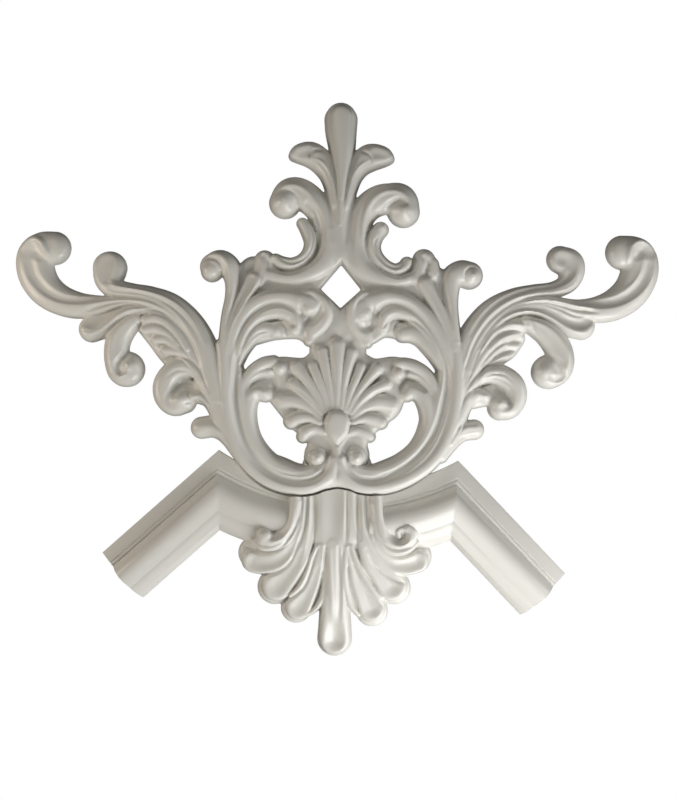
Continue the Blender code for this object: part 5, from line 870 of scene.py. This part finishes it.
class Carving:
    """Heights above the wall on a grid, below zero where there is no foam."""

    def __init__(self, box, pitch):
        left, right, low, high = box
        self.xs = np.arange(left, right + pitch, pitch)
        self.zs = np.arange(low, high + pitch, pitch)
        self.pitch = pitch
        self.height = np.full((len(self.zs), len(self.xs)), GROUND)

    def window(self, path, reach):
        """The rows and columns of the grid that the path reaches."""
        corner = np.array((self.xs[0], self.zs[0]))
        first = (path[:, :2].min(0) - reach - corner) / self.pitch
        last = (path[:, :2].max(0) + reach - corner) / self.pitch + 2
        i0, j0 = np.maximum(first, 0).astype(int)
        i1, j1 = np.maximum(last, 0).astype(int)
        return slice(j0, j1), slice(i0, i1)

    def along(self, a, b, reach):
        """The window of the segment a to b, and for its cells the distance, half width and height."""
        rows, columns = self.window(np.array([a, b]), reach)
        x, z = np.meshgrid(self.xs[columns], self.zs[rows])
        run = (b - a)[:2]
        t = ((x - a[0]) * run[0] + (z - a[1]) * run[1]) / max(run @ run, TINY)
        t = np.clip(t, 0, 1)
        distance = np.hypot(x - a[0] - t * run[0], z - a[1] - t * run[1])
        return (rows, columns), distance, a[2] + (b - a)[2] * t, a[3] + (b - a)[3] * t

    def lay_on(self, path, touch):
        """Lays a rounded stroke on, melted into what is there by the touch's blend."""
        fullness, drop, blend = touch
        layer = np.full_like(self.height, GROUND)
        widest = path[:, 2].max() + path[:, 3].max() / WALL_DRAFT + LEAST_FOOT
        for a, b in zip(path, path[1:]):
            where, distance, width, height = self.along(a, b, widest)
            share = np.clip(distance / width, 0, 1)
            foot = np.maximum(np.minimum(LEAST_FOOT, height), height - drop * width)
            ridge = foot + (height - foot) * np.sqrt(1 - share**fullness)
            ridge = np.where(distance < width, ridge, foot - WALL_DRAFT * (distance - width))
            layer[where] = np.maximum(layer[where], ridge)
        here = self.window(path, widest)
        old = self.height[here]
        new = layer[here]
        near = np.clip(1 - abs(old - new) / blend, 0, 1)
        melt = np.where(np.maximum(old, new) > -blend, 0.25 * blend * near**2, 0)
        self.height[here] = np.maximum(old, new) + melt

    def work(self, path, touch):
        """Cuts or raises what is there along the path, whose last value is the depth or the rise."""
        sense, power, section = touch
        change = np.zeros_like(self.height)
        for a, b in zip(path, path[1:]):
            where, distance, width, most = self.along(a, b, max(a[2], b[2]))
            share = np.clip(distance / width, 0, 1)
            change[where] = np.maximum(change[where], most * (1 - share**power) ** section)
        worked = np.maximum(self.height + sense * WORK_STRENGTH * change, HOLLOW_FLOOR)
        self.height = np.where(self.height > HOLLOW_FLOOR, worked, self.height)

    def cut_diamond(self):
        x, z = np.meshgrid(self.xs - DIAMOND_ACROSS, self.zs)
        upper = DIAMOND_TOP - DIAMOND_WAIST
        lower = DIAMOND_WAIST - DIAMOND_FOOT
        above = (DIAMOND_TOP - z) * DIAMOND_HALF_WIDTH - abs(x) * upper
        below = (z - DIAMOND_FOOT) * DIAMOND_HALF_WIDTH - abs(x) * lower
        inside = np.minimum(above / math.hypot(upper, DIAMOND_HALF_WIDTH),
                            below / math.hypot(lower, DIAMOND_HALF_WIDTH))
        self.height = np.minimum(self.height, -WALL_DRAFT * inside)

    def soften(self, radius):
        """Rounds every edge as a coat of paint does, by a blur of this radius."""
        reach = int(BLUR_REACH * radius / self.pitch) + 1
        steps = np.arange(-reach, reach + 1) * self.pitch
        weight = np.exp(-(steps**2) / (2 * radius**2))
        weight /= weight.sum()
        soft = self.height
        for axis in (0, 1):
            padded = np.pad(soft, [(reach, reach) if axis == k else (0, 0) for k in (0, 1)], mode="edge")
            count = soft.shape[axis]
            soft = sum(w * padded.take(range(i, i + count), axis) for i, w in enumerate(weight))
        self.height = soft


def drawn_box(paths):
    """The box in X and Z that the paths' reach needs."""
    paths = np.vstack(paths)
    reach = paths[:, 2:3] + STROKE_MARGIN
    low = (paths[:, :2] - reach).min(0)
    high = (paths[:, :2] + reach).max(0)
    return low[0], high[0], low[1], high[1]


def carve(tables, grows, pitch):
    """A carving with each table's strokes, in their order."""
    strokes = [(touch, drawn(rows, grows)) for table in tables for touch, rows in table.values()]
    carving = Carving(drawn_box([path for _, path in strokes]), pitch)
    for touch, path in strokes:
        if touch in WORKED:
            carving.work(path, WORKED[touch])
        else:
            carving.lay_on(path, LAID_ON[touch])
    return carving


def crest_carving(pitch):
    tables = (CREST_BEDS, LEFT_WING, RIGHT_WING, RINGS, HEARTS, TOP, SMALL_PALMETTE)
    carving = carve(tables, CREST_GROWS, pitch)
    carving.cut_diamond()
    carving.soften(PAINT_ROUNDING)
    return carving


def palmette_carving(pitch):
    carving = carve((CORNER_BEDS, CORNER_PALMETTE), PALMETTE_GROWS, pitch)
    carving.soften(PAINT_ROUNDING)
    return carving


def deselect():
    """Nothing is selected or active, so that the next operator acts on the new piece alone."""
    if bpy.context.object and bpy.context.object.mode != "OBJECT":
        bpy.ops.object.mode_set(mode="OBJECT")
    bpy.ops.object.select_all(action="DESELECT")


def make_active(piece):
    deselect()
    piece.select_set(True)
    bpy.context.view_layer.objects.active = piece


def apply_modifier(piece, kind, **settings):
    """Adds a modifier with its settings and applies it."""
    make_active(piece)
    modifier = piece.modifiers.new(kind.title(), kind)
    for name, value in settings.items():
        setattr(modifier, name, value)
    bpy.ops.object.modifier_apply(modifier=modifier.name)


def carved_sheet(name, carving, lowest):
    """A grid at the carving's size and place, raised to its heights and trimmed below the lowest."""
    rows, columns = carving.height.shape
    deselect()
    bpy.ops.mesh.primitive_grid_add(x_subdivisions=columns - 1, y_subdivisions=rows - 1, size=1)
    sheet = bpy.context.object
    sheet.name = name
    sheet.data.name = name
    x, z = np.meshgrid(carving.xs, carving.zs)
    height = np.maximum(carving.height, 2 * lowest)
    places = np.stack([x, -height, z], axis=2).astype(np.float32)
    sheet.data.vertices.foreach_set("co", places.ravel())
    keep = height > lowest
    near = keep.copy()
    near[1:] |= keep[:-1]
    near[:-1] |= keep[1:]
    near[:, 1:] |= near[:, :-1].copy()
    near[:, :-1] |= near[:, 1:].copy()
    bpy.ops.object.mode_set(mode="EDIT")
    bpy.ops.mesh.select_all(action="DESELECT")
    bpy.ops.object.mode_set(mode="OBJECT")
    sheet.data.vertices.foreach_set("select", ~near.ravel())
    bpy.ops.object.mode_set(mode="EDIT")
    bpy.ops.mesh.delete(type="VERT")
    bpy.ops.object.mode_set(mode="OBJECT")
    return sheet


def close_at(sheet, back):
    """Cuts the sheet flat at Y = back, closes the cut and turns the faces outwards."""
    make_active(sheet)
    bpy.ops.object.mode_set(mode="EDIT")
    bpy.ops.mesh.select_all(action="SELECT")
    bpy.ops.mesh.bisect(plane_co=(0, back, 0), plane_no=(0, 1, 0), clear_outer=True, use_fill=True,
                        threshold=CUT_MERGE)
    bpy.ops.mesh.select_all(action="SELECT")
    bpy.ops.mesh.normals_make_consistent(inside=False)
    bpy.ops.mesh.quads_convert_to_tris()
    bpy.ops.object.mode_set(mode="OBJECT")
    return sheet


def smooth_sheet(sheet):
    """Takes the grid's steps off the steep walls."""
    apply_modifier(sheet, "SMOOTH", factor=WALL_SMOOTHING, iterations=WALL_SMOOTHINGS)


def moulding_profile():
    """(distance from the outer edge, height) over fillet, quirk, bead, torus, step and band."""
    quirk = FILLET_WIDTH + QUIRK_WIDTH
    bead = quirk + BEAD_WIDTH
    sunk = FILLET_HEIGHT - QUIRK_DEPTH
    edge = FILLET_HEIGHT - FILLET_LEAN
    outer_round = FILLET_OUTER_SHARE * FILLET_ROUND
    inner_round = FILLET_INNER_SHARE * FILLET_ROUND
    points = [(0.0, edge - FILLET_ROUND), (outer_round, edge - outer_round), (FILLET_ROUND, edge)]
    points.append((FILLET_WIDTH - inner_round, FILLET_HEIGHT))
    points.append((FILLET_WIDTH, FILLET_HEIGHT - inner_round))
    points.append((FILLET_WIDTH + QUIRK_SIDE * QUIRK_WIDTH, sunk))
    points.append((quirk, sunk))
    for i in range(1, BEAD_STEPS):
        turn = math.pi * i / BEAD_STEPS
        across = quirk + BEAD_WIDTH * (0.5 - 0.5 * math.cos(turn))
        rise = BEAD_SWELL * BEAD_RISE * math.sin(turn) ** BEAD_FULLNESS
        points.append((across, FILLET_HEIGHT - BEAD_SUNK_SHARE * BEAD_RISE + rise))
    points.append((bead, FILLET_HEIGHT))
    shoulder = MOULDING_CROWN - SHOULDER_DROP
    for i in range(1, TORUS_STEPS + 1):
        share = i / TORUS_STEPS
        base = FILLET_HEIGHT + (shoulder - FILLET_HEIGHT) * share
        swell = TORUS_SWELL * math.sin(math.pi * share**TORUS_LEAN)
        points.append((bead + (STEP_PLACE - bead) * share, base + swell))
    step = shoulder - STEP_DROP
    points.append((STEP_PLACE + STEP_WIDTH, step))
    for i in range(1, BAND_STEPS + 1):
        share = i / BAND_STEPS
        across = STEP_PLACE + (MOULDING_WIDTH - STEP_PLACE) * share
        points.append((across, step - (step - EDGE_HEIGHT) * share**BAND_HOLLOW))
    return points


def moulding_stations():
    """Pairs (outer point, inner point) of the left run, from its square end to the palmette."""
    fall = math.radians(ARM_FALL_DEG)
    lean = math.radians(MITRE_LEAN_DEG)
    outer = Vector((-MITRE_REACH, MITRE_RISE))
    down_arm = Vector((-math.cos(fall), -math.sin(fall)))
    across_arm = Vector((math.sin(fall), -math.cos(fall)))
    down_mitre = Vector((math.sin(lean), -math.cos(lean)))
    inner = outer + down_mitre * (MOULDING_WIDTH / down_mitre.dot(across_arm))
    end = outer + down_arm * ARM_LENGTH
    stations = [(end, end + across_arm * MOULDING_WIDTH), (outer, inner)]
    centre = Vector((0.0, BOW_CENTRE_HEIGHT))
    for i in range(1, BOW_STATIONS + 1):
        share = i / BOW_STATIONS
        pair = []
        for start in (outer, inner):
            radius = (start - centre).length
            first = math.asin(start.x / radius)
            angle = first + (math.asin(-BOW_END / radius) - first) * share
            pair.append(centre + Vector((math.sin(angle), -math.cos(angle))) * radius)
        stations.append(tuple(pair))
    return stations


def moulding_run(side):
    """One run of the moulding: a strip as wide as the section's round, carried from station to station."""
    back = [(MOULDING_WIDTH, -BACK_SPARE), (0.0, -BACK_SPARE)]
    profile = back[1:] + moulding_profile() + back
    rings = []
    for outer, inner in moulding_stations():
        spots = [(outer.lerp(inner, across / MOULDING_WIDTH), height) for across, height in profile]
        path = laid(np.array([(-spot.x, spot.y, 0, height) for spot, height in spots]), side, CORNER_FRAME)
        rings.append([(x, -height, z) for x, z, _, height in path])
    deselect()
    columns = len(profile)
    bpy.ops.mesh.primitive_grid_add(x_subdivisions=columns - 1, y_subdivisions=len(rings) - 1, size=1)
    run = bpy.context.object
    run.data.vertices.foreach_set("co", np.array(rings, np.float32).ravel())
    for first in (0, columns * (len(rings) - 1)):
        select_vertices(run, range(first, first + columns))
        bpy.ops.mesh.edge_face_add()
    bpy.ops.mesh.select_all(action="SELECT")
    bpy.ops.mesh.remove_doubles(threshold=CUT_MERGE)
    bpy.ops.mesh.quads_convert_to_tris()
    bpy.ops.mesh.normals_make_consistent(inside=False)
    bpy.ops.object.mode_set(mode="OBJECT")
    return run


def select_vertices(piece, numbers):
    """Leaves the piece in edit mode with just these vertices selected."""
    make_active(piece)
    bpy.ops.object.mode_set(mode="EDIT")
    bpy.ops.mesh.select_mode(type="VERT")
    bpy.ops.mesh.select_all(action="DESELECT")
    bpy.ops.object.mode_set(mode="OBJECT")
    for number in numbers:
        piece.data.vertices[number].select = True
    bpy.ops.object.mode_set(mode="EDIT")


def thin_to(piece, triangles):
    """Brings a fine mesh down to this many triangles and keeps its form."""
    now = sum(len(face.vertices) - 2 for face in piece.data.polygons)
    if now > triangles:
        apply_modifier(piece, "DECIMATE", ratio=triangles / now)


def join_solid(piece, operation, other):
    """Adds or takes away another closed mesh, which is then gone."""
    apply_modifier(piece, "BOOLEAN", operation=operation, object=other, solver="MANIFOLD")
    bpy.data.objects.remove(other)


def set_smooth(piece):
    make_active(piece)
    bpy.ops.object.shade_smooth_by_angle(angle=math.radians(SHARP_DEG))


def crest_casting():
    lowest = -CREST_PITCH * SPARE_CELLS * WALL_DRAFT
    sheet = carved_sheet("crest_casting", crest_carving(CREST_PITCH), lowest)
    smooth_sheet(sheet)
    close_at(sheet, 0.0)
    thin_to(sheet, MOST_TRIANGLES)
    flatten_back(sheet)
    set_smooth(sheet)
    return sheet


def flatten_back(piece):
    """Lays every point that thinning moved off the wall plane back on it."""
    places = np.empty(3 * len(piece.data.vertices), np.float32)
    piece.data.vertices.foreach_get("co", places)
    y = places[1::3]
    y[y > -BACK_MERGE] = 0
    piece.data.vertices.foreach_set("co", places)


def joint_cutter(opens_deg, gap, bed):
    """The crest's outline along the joint, grown by the gap, as a prism from the bed forwards."""
    carving = crest_carving(CUTTER_PITCH)
    z = carving.zs[:, None] + 0 * carving.xs[None, :]
    carving.height = np.where(z < JOINT_TOP, carving.height + gap * WALL_DRAFT, GROUND)
    carving.height = np.clip(carving.height * CUTTER_STEEPNESS, GROUND, CUTTER_DEPTH)
    cutter = close_at(carved_sheet("joint_cutter", carving, GROUND / 2), bed)
    pivot = Vector((JOINT_PIVOT[0], 0.0, JOINT_PIVOT[1]))
    turn = Matrix.Rotation(math.radians(-opens_deg), 4, "Y")
    cutter.data.transform(Matrix.Translation(pivot) @ turn @ Matrix.Translation(-pivot))
    return cutter


def corner_casting():
    lowest = -WALL_DRAFT * (SPARE_CELLS * PALMETTE_PITCH + BACK_SPARE)
    corner = carved_sheet("corner_casting", palmette_carving(PALMETTE_PITCH), lowest)
    smooth_sheet(corner)
    close_at(corner, BACK_SPARE)
    for side in (-1, 1):
        join_solid(corner, "UNION", moulding_run(side))
    join_solid(corner, "DIFFERENCE", joint_cutter(0.0, 0.0, 2 * BACK_SPARE))
    join_solid(corner, "DIFFERENCE", joint_cutter(JOINT_OPENS_DEG, JOINT_GAP, -JOINT_BED))
    close_at(corner, 0.0)
    thin_to(corner, MOST_TRIANGLES)
    flatten_back(corner)
    set_smooth(corner)
    return corner


def linear(hex_colour):
    """An sRGB hex colour as linear red, green, blue and alpha."""
    shares = [int(hex_colour[i:i + 2], 16) / 255 for i in (0, 2, 4)]
    return [s / 12.92 if s <= 0.04045 else ((s + 0.055) / 1.055) ** 2.4 for s in shares] + [1.0]


def add_node(tree, kind, links=(), **settings):
    """Adds a node with its settings; links are (its input, the node and output that feed it)."""
    node = tree.nodes.new(kind)
    for name, value in settings.items():
        if name in node.inputs:
            node.inputs[name].default_value = value
        else:
            setattr(node, name, value)
    for name, (source, output) in links:
        tree.links.new(source.outputs[output], node.inputs[name])
    return node


def gloss_paint():
    """Off-white gloss paint sprayed on moulded polyurethane: soft highlights with a faint waver."""
    paint = bpy.data.materials.new("sprayed gloss paint on moulded polyurethane")
    paint.use_nodes = True
    tree = paint.node_tree
    shader = tree.nodes["Principled BSDF"]
    shader.inputs["Base Color"].default_value = linear(PAINT_COLOUR)
    shader.inputs["Roughness"].default_value = PAINT_ROUGHNESS
    shader.inputs["IOR"].default_value = PAINT_IOR
    place = add_node(tree, "ShaderNodeTexCoord")
    waver = add_node(tree, "ShaderNodeTexNoise", [("Vector", (place, "Object"))], Scale=1 / PAINT_WAVER,
                     Detail=PAINT_WAVER_DETAIL)
    bump = add_node(tree, "ShaderNodeBump", [("Height", (waver, 0))], Strength=PAINT_WAVER_STRENGTH,
                    Distance=PAINT_WAVER_DEPTH)
    tree.links.new(bump.outputs["Normal"], shader.inputs["Normal"])
    return paint


def paint_piece(piece, paint, node):
    piece.data.materials.clear()
    piece.data.materials.append(paint)
    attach(piece, "root")
    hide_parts(node)


def lay_floor():
    deselect()
    bpy.ops.mesh.primitive_plane_add(size=FLOOR_SIZE, location=(0, 0, FLOOR_LEVEL))
    floor = bpy.context.object
    floor.name = "floor"
    material = bpy.data.materials.new("pale matt floor")
    material.use_nodes = True
    shader = material.node_tree.nodes["Principled BSDF"]
    shader.inputs["Base Color"].default_value = linear(FLOOR_COLOUR)
    shader.inputs["Roughness"].default_value = FLOOR_ROUGHNESS
    floor.data.materials.append(material)


def hang_light(name, place, size, power, colour, target):
    """A soft box aimed at the ornament."""
    lamp = bpy.data.lights.new(name, "AREA")
    lamp.shape = "RECTANGLE"
    lamp.size, lamp.size_y = size
    lamp.energy = power
    lamp.color = linear(colour)[:3]
    box = bpy.data.objects.new(name, lamp)
    bpy.context.scene.collection.objects.link(box)
    box.location = place
    box.rotation_euler = (Vector(target) - Vector(place)).to_track_quat("-Z", "Y").to_euler()


def light_room():
    """A white room to look at, which itself lights the ornament only dimly."""
    world = bpy.data.worlds.new("studio room")
    bpy.context.scene.world = world
    world.use_nodes = True
    tree = world.node_tree
    tree.nodes.clear()
    seen = add_node(tree, "ShaderNodeBackground", Color=(1, 1, 1, 1), Strength=1.0)
    glow = add_node(tree, "ShaderNodeBackground", Color=linear(ROOM_COLOUR), Strength=ROOM_GLOW)
    path = add_node(tree, "ShaderNodeLightPath")
    mix = add_node(tree, "ShaderNodeMixShader", [("Fac", (path, "Is Camera Ray"))])
    tree.links.new(glow.outputs[0], mix.inputs[1])
    tree.links.new(seen.outputs[0], mix.inputs[2])
    add_node(tree, "ShaderNodeOutputWorld", [("Surface", (mix, 0))])


def set_camera():
    """Square on to the wall, a little rolled, at the distance from which the photograph was taken."""
    lens = bpy.data.cameras.new("camera")
    lens.sensor_width = SENSOR
    lens.lens = SENSOR * CAMERA_DISTANCE / FRAME_HEIGHT
    camera = bpy.data.objects.new("camera", lens)
    bpy.context.scene.collection.objects.link(camera)
    roll = math.radians(CAMERA_ROLL_DEG)
    right = Vector((math.cos(roll), 0, math.sin(roll)))
    up = Vector((-math.sin(roll), 0, math.cos(roll)))
    back = Vector((0, -1, 0))
    turn = Matrix((right, up, back)).transposed().to_4x4()
    place = Vector((CAMERA_X, -CAMERA_DISTANCE - SCALE_PLANE, CAMERA_Z))
    camera.matrix_world = Matrix.Translation(place) @ turn
    bpy.context.scene.camera = camera


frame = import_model()
paint_piece(crest_casting(), gloss_paint(), "crest")
paint_piece(corner_casting(), gloss_paint(), "corner_moulding")
lay_floor()
light_room()
for name, light in SOFT_BOXES.items():
    hang_light(name, *light)
set_camera()
bpy.context.scene.view_settings.view_transform = "Standard"
bpy.context.view_layer.update()
